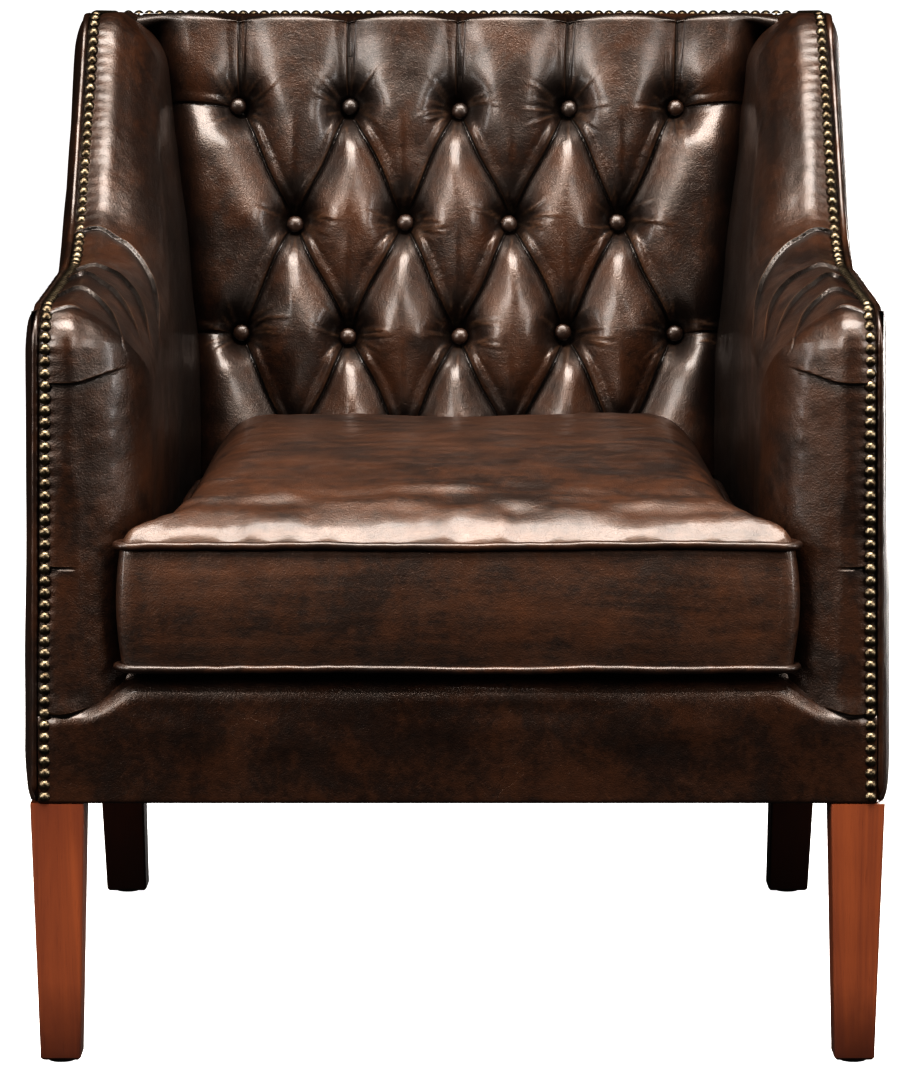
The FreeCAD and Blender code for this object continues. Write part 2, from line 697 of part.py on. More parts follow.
def cushion_body(inset):
    """The stuffed cushion: an upright border, and a top crowned from front to rear."""
    shape = plan_prism(cushion_outline(inset), CUSHION_BOTTOM + inset, CUSHION_UPPER_SEAM + 200)
    centre = Vec(-400, CUSHION_MIDDLE - MIDDLE_DEPTH, CUSHION_UPPER_SEAM + CUSHION_CROWN - CROWN_RADIUS)
    return shape.common(Part.makeCylinder(CROWN_RADIUS - inset, 800, centre, Vec(1, 0, 0)))


def build_cushion():
    body, core = cushion_body(0.0), cushion_body(LEATHER)
    save("cushion_core", core)
    outer, inner = cushion_outline(0.0), cushion_outline(LEATHER)
    upper = block((-500, 500), (-500, 1000), (BORDER_TOP, 1000))
    border = plan_prism(outer, CUSHION_LOWER_SEAM, BORDER_TOP)
    bottom = plan_prism(outer, CUSHION_BOTTOM, CUSHION_LOWER_SEAM)
    save("cushion_border", border.cut(plan_prism(inner, CUSHION_LOWER_SEAM - 1, BORDER_TOP + 1)))
    hollow = plan_prism(inner, CUSHION_BOTTOM + LEATHER, CUSHION_LOWER_SEAM + 1)
    save("cushion_bottom_panel", bottom.cut(hollow))
    save("cushion_top_panel", body.common(upper).cut(core))
    outline = cushion_outline(-CUSHION_PIPING - 0.3)
    for word, height in (("lower", CUSHION_LOWER_SEAM), ("upper", CUSHION_UPPER_SEAM)):
        edges = rounded_edges(outline, plan_point(height))
        save(f"cushion_{word}_piping", tube(edges, CUSHION_PIPING))


# ---- zip on the cushion's rear border -----------------------------------------------------
ZIP_HALF = 210.0
ZIP_HEIGHT = 392.0
ZIP_TRAVEL = 392.0
SLIDER_X = -196.0


def build_zip():
    face = SEAT_REAR + 0.1
    tape = block((-ZIP_HALF - 6, ZIP_HALF + 6), (face, face + 0.9), (ZIP_HEIGHT - 14, ZIP_HEIGHT + 14))
    teeth = block((-ZIP_HALF, ZIP_HALF), (face + 0.9, face + 2.3), (ZIP_HEIGHT - 2.8, ZIP_HEIGHT + 2.8))
    save("cushion_zip", tape.fuse(teeth).removeSplitter())

    near = face + 2.6
    plate = block((SLIDER_X - 7, SLIDER_X + 7), (near, near + 1.8), (ZIP_HEIGHT - 5.5, ZIP_HEIGHT + 5.5))
    plate = plate.makeFillet(2.5, [edge for edge in plate.Edges if edge.BoundBox.YLength > 1.7])
    pin_depth = near + 1.8 + 2.6
    pin_z = ZIP_HEIGHT
    slider = plate
    for side in (-1, 1):
        low, high = sorted((SLIDER_X + side * 2.8, SLIDER_X + side * 4.6))
        ear = block((low, high), (near + 1.7, pin_depth + 1.8), (pin_z - 1.8, pin_z + 1.8))
        slider = slider.fuse(ear)
    pin = Part.makeCylinder(1.0, 6.0, Vec(SLIDER_X - 3, pin_depth - MIDDLE_DEPTH, pin_z), Vec(1, 0, 0))
    save("zip_slider", slider.fuse(pin).removeSplitter())

    barrel = Part.makeCylinder(2.1, 5.0, Vec(SLIDER_X - 2.5, pin_depth - MIDDLE_DEPTH, pin_z), Vec(1, 0, 0))
    tab = block((SLIDER_X - 2.5, SLIDER_X + 2.5), (pin_depth - 0.7, pin_depth + 0.7), (pin_z - 9, pin_z))
    grip = block((SLIDER_X - 4, SLIDER_X + 4), (pin_depth - 0.7, pin_depth + 0.7), (pin_z - 24, pin_z - 9))
    grip = grip.makeFillet(2.0, [edge for edge in grip.Edges if edge.BoundBox.YLength > 1.3])
    bore = Part.makeCylinder(1.08, 7.0, Vec(SLIDER_X - 3.5, pin_depth - MIDDLE_DEPTH, pin_z), Vec(1, 0, 0))
    save("zip_pull", barrel.fuse(tab).fuse(grip).cut(bore).removeSplitter())
    print(f"zip pull pivot X {SLIDER_X} Y {pin_depth - MIDDLE_DEPTH:.3f} Z {pin_z}")


# ---- the whole chair ----------------------------------------------------------------------
def main():
    board = build_side_frame()
    members = build_cross_members(board)
    arm = build_arms(board, members)
    build_corner_blocks()
    build_legs()
    build_suspension()
    build_deck(arm)
    build_dust_cover()
    build_back(arm)
    place, shrink = build_outside()
    build_nails(place, shrink)
    build_cushion()
    build_zip()


main()
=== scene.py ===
"""Upholsters the low-winged, deep-buttoned armchair on its frame. Metres; the front is toward -Y."""

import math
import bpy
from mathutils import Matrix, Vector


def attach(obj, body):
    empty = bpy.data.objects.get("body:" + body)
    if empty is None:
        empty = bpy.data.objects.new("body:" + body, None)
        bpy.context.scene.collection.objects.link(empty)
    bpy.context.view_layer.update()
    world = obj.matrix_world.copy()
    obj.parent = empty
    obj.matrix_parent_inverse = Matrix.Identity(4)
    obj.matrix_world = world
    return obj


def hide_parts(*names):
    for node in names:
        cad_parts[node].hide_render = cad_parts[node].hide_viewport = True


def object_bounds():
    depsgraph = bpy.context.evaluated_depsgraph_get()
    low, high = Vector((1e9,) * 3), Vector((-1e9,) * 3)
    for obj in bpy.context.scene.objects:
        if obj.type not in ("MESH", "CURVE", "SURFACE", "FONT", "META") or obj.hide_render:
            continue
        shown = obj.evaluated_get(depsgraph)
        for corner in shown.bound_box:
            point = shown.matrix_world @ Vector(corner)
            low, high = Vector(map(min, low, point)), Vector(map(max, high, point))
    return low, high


bl_info = {
    "name": "Deep-buttoned armchair",
    "version": (1, 0, 0),
    "blender": (4, 5, 0),
    "location": "3D View > Sidebar > Armchair",
    "description": "Covers the low-winged armchair in antiqued leather, piece by piece",
    "category": "Object",
}

import bpy
import numpy as np
from mathutils import Vector

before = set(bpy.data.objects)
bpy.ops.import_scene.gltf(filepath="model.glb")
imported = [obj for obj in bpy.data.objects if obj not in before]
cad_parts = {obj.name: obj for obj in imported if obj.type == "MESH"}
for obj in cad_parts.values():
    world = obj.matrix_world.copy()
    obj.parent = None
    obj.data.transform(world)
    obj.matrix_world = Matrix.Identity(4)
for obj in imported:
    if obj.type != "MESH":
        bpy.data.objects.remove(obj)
CAD_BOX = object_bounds()

# Places on the frame. Depth is measured rearwards from the arms' front face.
MIDDLE_DEPTH = 0.35185
HALF_WIDTH = CAD_BOX[1].x
RAIL_BOTTOM = 0.225
TOP = 0.884
SIDE_LEAN = math.radians(0.87)
SEAT_BODY = "seat_cushion"
FRAME_BODY = "chair"

# Side outlines: depth, height and corner radius.
COVER_OUTLINE = [
    (0.003, 0.298, 0.0),
    (0.658, 0.298, 0.0),
    (0.684, TOP, 0.012),
    (0.450, TOP, 0.036),
    (0.300, 0.664, 0.120),
    (-0.001, 0.642, 0.036),
]
EDGE_LINE = [
    (0.003, RAIL_BOTTOM, 0.0),
    (-0.001, 0.642, 0.036),
    (0.300, 0.664, 0.120),
    (0.450, TOP, 0.036),
    (0.684, TOP, 0.0),
]
COVER_EDGE = 0.3530
NAIL_LINE = 0.347
NAIL_PITCH = 0.0102
ARM_INSIDE, WING_INSIDE, INSIDE_FLARE = 0.257, 0.2455, 0.115

# The outside covers: their lower edge, and the raked plane of the outside back.
COVER_FOOT = 0.2262
REAR_FOOT = 0.6520
REAR_RAKE = 0.0290 / 0.66
PANEL = 0.3572
PIPING_STEP = 0.0035

# The seat cushion: half its outline as distance from the middle, depth and corner radius.
CUSHION_HALF_OUTLINE = [(0.295, -0.002, 0.010), (0.241, 0.052, 0.050), (0.241, 0.474, 0.042)]
CUSHION_LOW_SEAM = 0.341
CUSHION_TOP_SEAM = 0.445
CUSHION_BOTTOM = 0.3372
ZIP_HEIGHT, ZIP_HALF = 0.392, 0.218

# The inside back: its plane, its buttons and the rounding over its top.
BACK_FOOT = (0.482, 0.4495)
BACK_HEAD = 0.548
BACK_SLOPE = (BACK_HEAD - BACK_FOOT[0]) / (TOP - BACK_FOOT[1])
BACK_TOP_ROUND = 0.008
BACK_HALF = 0.306
BUTTON_PITCH = 0.104
BUTTON_ROWS = (0.798, 0.6905, 0.583, 0.4755)
BUTTON_COUNTS = (5, 4, 5, 4)

# The four kinds of fold on the back, with how wide and how deep each one pulls the leather in.
DIAGONAL, UPRIGHT, SIDEWAYS, SECOND = range(4)
FOLD_WIDTH = (0.046, 0.050, 0.050, 0.012)
FOLD_DEPTH = (1.0, 0.80, 0.70, 0.22)

# Further from a fold than any shading reaches.
FAR = 0.03

WARM_WHITE = (1.0, 0.97, 0.94)


# ---------------------------------------------------------------- sizes and colours a user may change


def length(name, description, default):
    return bpy.props.FloatProperty(
        name=name, description=description, default=default, unit="LENGTH", precision=4
    )


def tint(name, description, default):
    return bpy.props.FloatVectorProperty(
        name=name, description=description, default=default, subtype="COLOR", size=3, min=0.0, max=1.0
    )


class ChairSizes(bpy.types.PropertyGroup):
    arm_mesh: length("Arm mesh", "Size of the faces on the arm and wing covers", 0.0024)
    back_mesh: length("Back mesh", "Size of the faces on the buttoned back", 0.0020)
    cushion_mesh: length("Cushion mesh", "Size of the faces on the seat cushion", 0.0030)
    pleat_lip: length("Pleat lip", "How far each arm pleat stands over the next", 0.0028)
    tuft_depth: length("Button depth", "How deep the buttons sit below the back's surface", 0.038)
    crease_depth: length("Crease depth", "How deep the folds run halfway between two buttons", 0.0205)
    button_radius: length("Button radius", "Radius of a covered button", 0.0081)
    crown: length("Cushion crown", "How far the cushion's middle stands above its piping", 0.080)
    border_swell: length("Border swell", "How far the cushion's border swells at mid height", 0.0045)
    cushion_piping: length("Cushion piping", "Radius of the cushion's piping", 0.0035)
    edge_piping: length("Edge piping", "Radius of the piping at the chair's outer edges", 0.0030)


class ChairColours(bpy.types.PropertyGroup):
    # Also the colour that the painted shade in hollows and folds darkens towards.
    leather_dark: tint("Leather, dark", "The antiqued stain in the hollows", (0.0030, 0.0012, 0.0007))
    leather_middle: tint("Leather, middle", "The leather's main brown", (0.0120, 0.0050, 0.0026))
    leather_warm: tint("Leather, warm", "Orange-brown patches", (0.045, 0.0180, 0.0080))
    leather_worn: tint("Leather, worn", "Tan where the stain has rubbed off", (0.150, 0.0800, 0.0440))
    leg_wood: tint("Leg wood", "Reddish stain on the front legs", (0.168, 0.0500, 0.0185))
    # Used for the grain and to darken each leg towards its foot.
    leg_wood_dark: tint("Leg wood, dark", "Stain at the feet and in the grain", (0.050, 0.0100, 0.0050))
    brass: tint("Nail brass", "Bright metal on top of the nails", (0.150, 0.1220, 0.0820))
    brass_dark: tint("Nail tarnish", "Dark metal round the nails' rims", (0.030, 0.0200, 0.0120))
    floor: tint("Floor", "The pale floor and backdrop", (0.900, 0.9000, 0.8900))


def sizes():
    return bpy.context.scene.chair_sizes


def colours():
    return bpy.context.scene.chair_colours


# ---------------------------------------------------------------- curves, noise and meshes


def ramp(low, high, value):
    """0 below low, 1 above high, smooth between."""
    t = np.clip((value - low) / (high - low), 0, 1)
    return t * t * (3 - 2 * t)


def bell(value, width):
    """A smooth bump, 1 at zero."""
    return np.exp(-((value / width) ** 2))


def fade_out(value, width):
    """1 up to zero, then dying away."""
    return np.exp(-np.maximum(value, 0) / width)


def round_step(value, width):
    """From 0 to 1 over a width, along a quarter circle."""
    return np.sqrt(np.clip(1 - (1 - np.clip(value / width, 0, 1)) ** 2, 0, 1))


def rounded(points, closed, step=math.radians(6)):
    """A dense line through the corners, each rounded by its radius."""
    line = []
    for i, (a, b, radius) in enumerate(points):
        corner = np.array([a, b])
        if radius == 0 or (not closed and i in (0, len(points) - 1)):
            line.append(corner)
            continue
        before = np.array(points[i - 1][:2]) - corner
        after = np.array(points[(i + 1) % len(points)][:2]) - corner
        u, v = before / np.linalg.norm(before), after / np.linalg.norm(after)
        half = math.acos(u @ v) / 2
        centre = corner + (u + v) / np.linalg.norm(u + v) * radius / math.sin(half)
        start = corner + u * radius / math.tan(half) - centre
        end = corner + v * radius / math.tan(half) - centre
        turn = math.pi - 2 * half
        side = np.sign(start[0] * end[1] - start[1] * end[0])
        count = max(2, math.ceil(turn / step))
        for k in range(count + 1):
            c, s = math.cos(side * turn * k / count), math.sin(side * turn * k / count)
            line.append(centre + np.array([c * start[0] - s * start[1], s * start[0] + c * start[1]]))
    return np.array(line)


def smooth_line(points, steps=8):
    """A soft curve through given points."""
    p = np.array(points, float)
    p = np.vstack([2 * p[0] - p[1], p, 2 * p[-1] - p[-2]])
    line = []
    for a, b, c, d in zip(p[:-3], p[1:-2], p[2:-1], p[3:]):
        for t in np.arange(steps) / steps:
            bend = (2 * a - 5 * b + 4 * c - d) * t * t + (3 * b - a - 3 * c + d) * t**3
            line.append(0.5 * (2 * b + (c - a) * t + bend))
    return np.array(line + [p[-2]])


def evenly(line, step, closed):
    """The same line with points evenly spaced, about step apart."""
    if closed:
        line = np.vstack([line, line[:1]])
    along = np.concatenate([[0], np.cumsum(np.linalg.norm(np.diff(line, axis=0), axis=1))])
    count = max(2, round(along[-1] / step))
    at = np.linspace(0, along[-1], count + 1)[: count if closed else count + 1]
    return np.stack([np.interp(at, along, line[:, k]) for k in range(line.shape[1])], 1)


def nearest(points, line, closed=False):
    """Distance to a line, how far along it, the nearest spot and the line's direction there."""
    a = line if closed else line[:-1]
    d = (np.roll(line, -1, axis=0) if closed else line[1:]) - a
    span = np.linalg.norm(d, axis=1)
    start = np.concatenate([[0], np.cumsum(span)[:-1]])
    n = len(points)
    distance, along = np.empty(n), np.empty(n)
    spot, way = np.empty((n, line.shape[1])), np.empty((n, line.shape[1]))
    for k in range(0, n, 8000):
        p = points[k : k + 8000]
        t = np.clip(((p[:, None] - a) * d).sum(2) / span**2, 0, 1)
        s = a + t[..., None] * d
        gap = np.linalg.norm(p[:, None] - s, axis=2)
        j = gap.argmin(1)
        r = np.arange(len(p))
        distance[k : k + 8000] = gap[r, j]
        along[k : k + 8000] = start[j] + t[r, j] * span[j]
        spot[k : k + 8000] = s[r, j]
        way[k : k + 8000] = d[j] / span[j][:, None]
    return distance, along, spot, way


class Lumps:
    """Soft seeded noise: the same gentle lumps on every run."""

    SIDE = 32

    def __init__(self, seed):
        self.table = np.random.default_rng(seed).uniform(-1, 1, (self.SIDE,) * 3)

    def __call__(self, points, size):
        p = np.asarray(points) / np.asarray(size)
        cell = np.floor(p).astype(int)
        f = p - cell
        f = f * f * (3 - 2 * f)
        total = np.zeros(len(p))
        for corner in range(8):
            step = np.array([corner & 1, corner >> 1 & 1, corner >> 2 & 1])
            i = (cell + step) % self.SIDE
            weight = np.prod(np.where(step == 1, f, 1 - f), axis=1)
            total += weight * self.table[i[:, 0], i[:, 1], i[:, 2]]
        return total


def to_room(q, depth, z, side):
    """Points on one leaning side, from distance off the middle, depth and height, to the row frame."""
    dq, dz = q - HALF_WIDTH, z - RAIL_BOTTOM
    c, s = math.cos(SIDE_LEAN), math.sin(SIDE_LEAN)
    x = side * (HALF_WIDTH + dq * c - dz * s)
    return np.stack([x, depth - MIDDLE_DEPTH, RAIL_BOTTOM + dz * c + dq * s], 1)


def rear_depth(z):
    """Depth of the outside back at a height."""
    return REAR_FOOT + REAR_RAKE * (z - COVER_FOOT)


def make_mesh(name, points, faces, attributes=None):
    """A smooth-shaded object of quads, with its point attributes."""
    mesh = bpy.data.meshes.new(name)
    mesh.vertices.add(len(points))
    mesh.vertices.foreach_set("co", np.ascontiguousarray(points, np.float32).ravel())
    mesh.loops.add(faces.size)
    mesh.loops.foreach_set("vertex_index", np.ascontiguousarray(faces, np.int32).ravel())
    mesh.polygons.add(len(faces))
    mesh.polygons.foreach_set("loop_start", np.arange(0, faces.size, 4, dtype=np.int32))
    mesh.update(calc_edges=True)
    mesh.validate()
    mesh.polygons.foreach_set("use_smooth", np.ones(len(mesh.polygons), bool))
    for key, values in (attributes or {}).items():
        layer = mesh.attributes.new(key, "FLOAT", "POINT")
        layer.data.foreach_set("value", np.ascontiguousarray(values, np.float32))
    mesh.update()
    piece = bpy.data.objects.new(name, mesh)
    bpy.context.scene.collection.objects.link(piece)
    return piece


def leather_mesh(name, points, faces, painted_shade_and_stain, wear=0.0, crease=FAR, line=0.0):
    """A cover with the values its leather reads: painted shade in its hollows (partly antique stain), rubbed
    spots, and fold lines that carry painted shade and highlights.
    """
    values = {"crease": crease, "line": line, "wear": wear, "painted_shade_and_stain": painted_shade_and_stain}
    return make_mesh(name, points, faces, {k: np.broadcast_to(v, len(points)) for k, v in values.items()})


def grid_faces(rows, columns, close_rows=False, close_columns=False):
    """Quads over a grid of points, numbered row by row."""
    number = np.arange(rows * columns).reshape(rows, columns)
    if close_rows:
        number = np.vstack([number, number[:1]])
    if close_columns:
        number = np.hstack([number, number[:, :1]])
    corners = (number[:-1, :-1], number[:-1, 1:], number[1:, 1:], number[1:, :-1])
    return np.stack(corners, -1).reshape(-1, 4)


def tube(name, line, radius, closed, sides=12, lumps=None):
    """A round welt along a line of points, with slightly uneven leather."""
    way = np.roll(line, -1, 0) - np.roll(line, 1, 0) if closed else np.gradient(line, axis=0)
    way = way / np.linalg.norm(way, axis=1)[:, None]
    side = np.zeros_like(way)
    side[0] = np.cross(way[0], (0.0, 0.3, 1.0) if abs(way[0][2]) < 0.9 else (1.0, 0.0, 0.0))
    for i in range(1, len(line)):
        side[i] = side[i - 1] - way[i] * (side[i - 1] @ way[i])
        side[i] /= np.linalg.norm(side[i])
    side[0] /= np.linalg.norm(side[0])
    up = np.cross(side, way)
    angle = np.arange(sides) * 2 * math.pi / sides
    ring = side[:, None] * np.cos(angle)[None, :, None] + up[:, None] * np.sin(angle)[None, :, None]
    width = np.full(len(line), radius)
    if not closed:
        ends = np.minimum(np.arange(len(line)), np.arange(len(line))[::-1])
        width = width * np.where(ends == 0, 0.02, np.where(ends == 1, 0.6, 1.0))
    points = line[:, None] + ring * width[:, None, None]
    flat = points.reshape(-1, 3)
    if lumps:
        push = (radius * 0.10 * lumps(flat, 0.010) + radius * 0.08 * lumps(flat, 0.035))[:, None]
        flat = flat + ring.reshape(-1, 3) * push
    faces = grid_faces(len(line), sides, close_rows=closed, close_columns=True)
    return make_mesh(name, flat, faces[:, ::-1])


def voxel_solid(name, outline, low, high, voxel):
    """Quads over a straight prism: its outline in the first two axes, low to high in the third."""
    n = len(outline)
    points = np.vstack([np.column_stack([outline, np.full(n, level)]) for level in (low, high)])
    mesh = bpy.data.meshes.new(name)
    sides = [(i, (i + 1) % n, n + (i + 1) % n, n + i) for i in range(n)]
    mesh.from_pydata(points.tolist(), [], [tuple(range(n))[::-1], tuple(range(n, 2 * n)), *sides])
    rough = bpy.data.objects.new(name, mesh)
    bpy.context.scene.collection.objects.link(rough)
    select_only(rough)
    remesh = rough.modifiers.new("even quads", "REMESH")
    remesh.mode = "VOXEL"
    remesh.voxel_size = voxel
    bpy.ops.object.modifier_apply(modifier=remesh.name)
    verts, mesh = mesh_points(rough), rough.data
    corners = np.empty(len(mesh.loops), int)
    mesh.loops.foreach_get("vertex_index", corners)
    bpy.data.objects.remove(rough)
    bpy.data.meshes.remove(mesh)
    return verts, corners.reshape(-1, 4)


def mesh_points(piece):
    co = np.empty(len(piece.data.vertices) * 3)
    piece.data.vertices.foreach_get("co", co)
    return co.reshape(-1, 3)


def select_only(piece):
    for other in bpy.context.selected_objects:
        other.select_set(False)
    bpy.context.view_layer.objects.active = piece
    piece.select_set(True)


def keep_faces(points, faces, kept):
    faces = faces[kept]
    used = np.unique(faces)
    number = np.full(len(points), -1)
    number[used] = np.arange(len(used))
    return points[used], number[faces]


def mesh_edges(faces, **options):
    edges = np.vstack([faces[:, [k, (k + 1) % 4]] for k in range(4)])
    return np.unique(np.sort(edges, axis=1), axis=0, **options)


def relax(points, faces, held, rounds):
    """Evens out the mesh by moving each free point towards its neighbours."""
    a, b = mesh_edges(faces).T
    n = len(points)
    count = np.bincount(np.concatenate([a, b]), minlength=n)
    for _ in range(rounds):
        total = [np.bincount(a, points[b, k], n) + np.bincount(b, points[a, k], n) for k in range(3)]
        points = np.where(held[:, None], points, np.stack(total, 1) / count[:, None])
    return points


def rim_points(faces, n):
    """True for points on an open edge."""
    edges, times = mesh_edges(faces, return_counts=True)
    rim = np.zeros(n, bool)
    rim[edges[times == 1].ravel()] = True
    return rim


# ---------------------------------------------------------------- materials


class Finish:
    """A material and the few node steps it is built from."""

    def __init__(self, name):
        self.material = bpy.data.materials.new(name)
        self.material.use_nodes = True
        self.tree = self.material.node_tree
        self.shader = self.tree.nodes["Principled BSDF"]
        self.place = self.tree.nodes.new("ShaderNodeTexCoord").outputs["Object"]

    def node(self, kind, inputs, **settings):
        made = self.tree.nodes.new(kind)
        for key, value in settings.items():
            setattr(made, key, value)
        for key, value in inputs.items():
            if isinstance(value, bpy.types.NodeSocket):
                self.tree.links.new(value, made.inputs[key])
            else:
                made.inputs[key].default_value = value
        return made

    def stretched(self, scale):
        return self.node("ShaderNodeMapping", {"Vector": self.place, "Scale": scale}).outputs[0]

    def noise(self, scale, detail=4.0, rough=0.55, vector=None, twist=0.0):
        inputs = {"Vector": vector or self.place, "Scale": scale, "Detail": detail}
        inputs.update({"Roughness": rough, "Distortion": twist})
        return self.node("ShaderNodeTexNoise", inputs).outputs[0]

    def cells(self, scale, vector=None):
        inputs = {"Vector": vector or self.place, "Scale": scale}
        return self.node("ShaderNodeTexVoronoi", inputs, feature="F1").outputs["Distance"]

    def attribute(self, name):
        return self.node("ShaderNodeAttribute", {}, attribute_name=name).outputs["Fac"]

    def math(self, operation, *values):
        return self.node("ShaderNodeMath", dict(enumerate(values)), operation=operation).outputs[0]

    def spread(self, value, low, high, to_low=0.0, to_high=1.0):
        inputs = {"Value": value, "From Min": low, "From Max": high, "To Min": to_low, "To Max": to_high}
        return self.node("ShaderNodeMapRange", inputs).outputs[0]

    def mix(self, factor, a, b, blend="MIX"):
        inputs = {0: factor, 6: colour(a), 7: colour(b)}
        return self.node("ShaderNodeMix", inputs, data_type="RGBA", blend_type=blend).outputs[2]

    def bump(self, height, distance, strength=1.0, normal=None):
        inputs = {"Height": height, "Distance": distance, "Strength": strength}
        if normal:
            inputs["Normal"] = normal
        return self.node("ShaderNodeBump", inputs).outputs[0]

    def set(self, **sockets):
        for key, value in sockets.items():
            socket = self.shader.inputs[key.replace("_", " ")]
            if isinstance(value, bpy.types.NodeSocket):
                self.tree.links.new(value, socket)
            else:
                socket.default_value = value
        return self.material


def colour(value):
    if isinstance(value, bpy.types.NodeSocket):
        return value
    return (*value[:3], 1.0)


def leather(name, warm=0.5, streak=0.0, dark=0.0, grain=1.0, gloss=0.30, fade=0.0):
    """Hand-stained leather: mottled browns, painted shade in hollows and creases, rubbed lips with a painted
    highlight and a fine pebbled grain.
    """
    f = Finish(name)
    shades = colours()

    # The mottled stain: broad clouds, hand-sized patches and small flecks.
    cloud = f.noise(7.5, 3.0, 0.62, twist=0.6)
    patch = f.noise(24.0, 4.0, 0.66, twist=0.5)
    fleck = f.noise(120.0, 3.0, 0.72, twist=0.4)
    body = f.math("ADD", f.math("MULTIPLY", cloud, 0.42), f.math("MULTIPLY", patch, 0.36))
    body = f.math("ADD", body, f.math("MULTIPLY", fleck, 0.24))
    if streak:
        lines = f.noise(1.0, 6.0, 0.7, vector=f.stretched((9.0, 60.0, 60.0)), twist=0.4)
        body = f.math("ADD", f.math("MULTIPLY", body, 1 - streak), f.math("MULTIPLY", lines, streak))
    base = f.mix(f.spread(body, 0.38 - fade, 0.55 - fade), shades.leather_dark, shades.leather_middle)
    base = f.mix(f.spread(body, 0.48 - fade, 0.66 - fade, 0.0, warm), base, shades.leather_warm)
    if dark:
        base = f.mix(dark, base, shades.leather_dark)

    # Painted shade, partly the antique stain, darkens the hollows; the stain wears off proud edges.
    painted_shade_and_stain = f.spread(f.attribute("painted_shade_and_stain"), 0.0, 1.0, 0.0, 0.94)
    base = f.mix(painted_shade_and_stain, base, tuple(0.45 * c for c in shades.leather_dark))
    rub = f.math("MULTIPLY", f.attribute("wear"), f.spread(f.noise(70.0, 4.0, 0.7), 0.36, 0.58, 0.15, 1.0))
    base = f.mix(rub, base, shades.leather_worn)

    # Folds: painted shade on the side under the fold, a painted highlight in worn tan on the lip above it and
    # a painted black line of shade between.
    across, mask = f.attribute("crease"), f.attribute("line")
    shade, edge = f.spread(across, -0.0080, -0.0010), f.spread(across, -0.0006, 0.0004, 1.0, 0.0)
    under = f.math("MULTIPLY", shade, edge)
    base = f.mix(f.math("MULTIPLY", f.math("MULTIPLY", under, mask), 0.85), base, shades.leather_dark)
    # Painted highlight: a thin tan line along each fold's lip.
    lip = f.math("ABSOLUTE", f.math("SUBTRACT", across, 0.0014))
    lip = f.spread(lip, 0.0, 0.0009, 0.32, 0.0)
    base = f.mix(f.math("MULTIPLY", lip, mask), base, shades.leather_worn)
    # Painted shade: a near-black line along each fold.
    line = f.math("MULTIPLY", f.spread(f.math("ABSOLUTE", across), 0.0006, 0.0018, 1.0, 0.0), mask)
    base = f.mix(line, base, (0.0012, 0.0007, 0.0005))

    # Hairline cracks in the finish, then the grain itself.
    hair = f.math("ABSOLUTE", f.math("SUBTRACT", f.noise(30.0, 3.0, 0.6, twist=0.3), 0.5))
    hair = f.math("MULTIPLY", f.spread(hair, 0.0, 0.006, 1.0, 0.0), f.spread(cloud, 0.42, 0.60))
    base = f.mix(f.math("MULTIPLY", hair, 0.30), base, shades.leather_warm)
    pebble = f.spread(f.cells(1.0, f.stretched((720.0,) * 3)), 0.15, 0.75, 1.0, 0.0)
    furrow = f.noise(1.0, 3.0, 0.6, vector=f.stretched((260.0,) * 3), twist=1.2)
    uneven = f.math("SUBTRACT", f.noise(34.0, 3.0, 0.5), f.math("MULTIPLY", hair, 0.06))
    normal = f.bump(uneven, 0.0020, 0.55)
    normal = f.bump(furrow, 0.00040 * grain, 0.8, normal)
    normal = f.bump(pebble, 0.00012 * grain, 0.8, normal)
    normal = f.bump(f.math("MULTIPLY", line, -1.0), 0.0014, 1.0, normal)
    rough = f.spread(patch, 0.3, 0.7, gloss + 0.12, gloss)
    rough = f.math("ADD", rough, f.math("MULTIPLY", f.attribute("painted_shade_and_stain"), 0.10))
    return f.set(
        Base_Color=base,
        Roughness=rough,
        Normal=normal,
        Specular_IOR_Level=0.42,
        Specular_Tint=(1.0, 0.84, 0.74, 1.0),
        Coat_Weight=0.24,
        Coat_Roughness=0.20,
    )


def leg_wood(name, light, dark, foot):
    """Stained and varnished wood: long grain, small pores and a darker foot."""
    f = Finish(name)
    grain = f.noise(1.0, 6.0, 0.65, vector=f.stretched((55.0, 55.0, 2.6)), twist=0.8)
    pores = f.noise(1.0, 3.0, 0.7, vector=f.stretched((900.0, 900.0, 26.0)))
    height = f.node("ShaderNodeSeparateXYZ", {0: f.place}).outputs["Z"]
    base = f.mix(f.spread(grain, 0.36, 0.66), dark, light)
    base = f.mix(0.45, base, light)
    base = f.mix(f.spread(f.noise(6.0, 3.0, 0.6), 0.35, 0.7, 0.0, 0.35), base, dark)
    base = f.mix(f.spread(pores, 0.60, 0.74, 0.0, 0.5), base, dark)
    # Darker towards the foot of each leg.
    low = f.math("ADD", height, f.math("MULTIPLY", f.noise(30.0, 3.0, 0.6), 0.03))
    base = f.mix(f.spread(low, 0.015, 0.085, foot, 0.0), base, tuple(0.35 * c for c in dark))
    relief = f.math("ADD", f.math("MULTIPLY", grain, 0.6), f.math("MULTIPLY", pores, 0.4))
    normal = f.bump(relief, 0.0003, 0.5)
    rough = f.spread(grain, 0.3, 0.7, 0.42, 0.30)
    return f.set(Base_Color=base, Roughness=rough, Normal=normal, Coat_Weight=0.35, Coat_Roughness=0.2)


def frame_wood():
    """Bare machined beech, planed but not finished."""
    f = Finish("bare beech")
    grain = f.noise(1.0, 5.0, 0.6, vector=f.stretched((30.0, 30.0, 6.0)), twist=0.7)
    flecks = f.cells(1.0, f.stretched((420.0, 60.0, 420.0)))
    base = f.mix(f.spread(grain, 0.35, 0.68), (0.52, 0.33, 0.18), (0.36, 0.20, 0.10))
    base = f.mix(f.spread(flecks, 0.0, 0.25, 0.35, 0.0), base, (0.24, 0.12, 0.055))
    rough = f.spread(grain, 0.3, 0.7, 0.55, 0.7)
    return f.set(Base_Color=base, Roughness=rough, Normal=f.bump(grain, 0.0003))


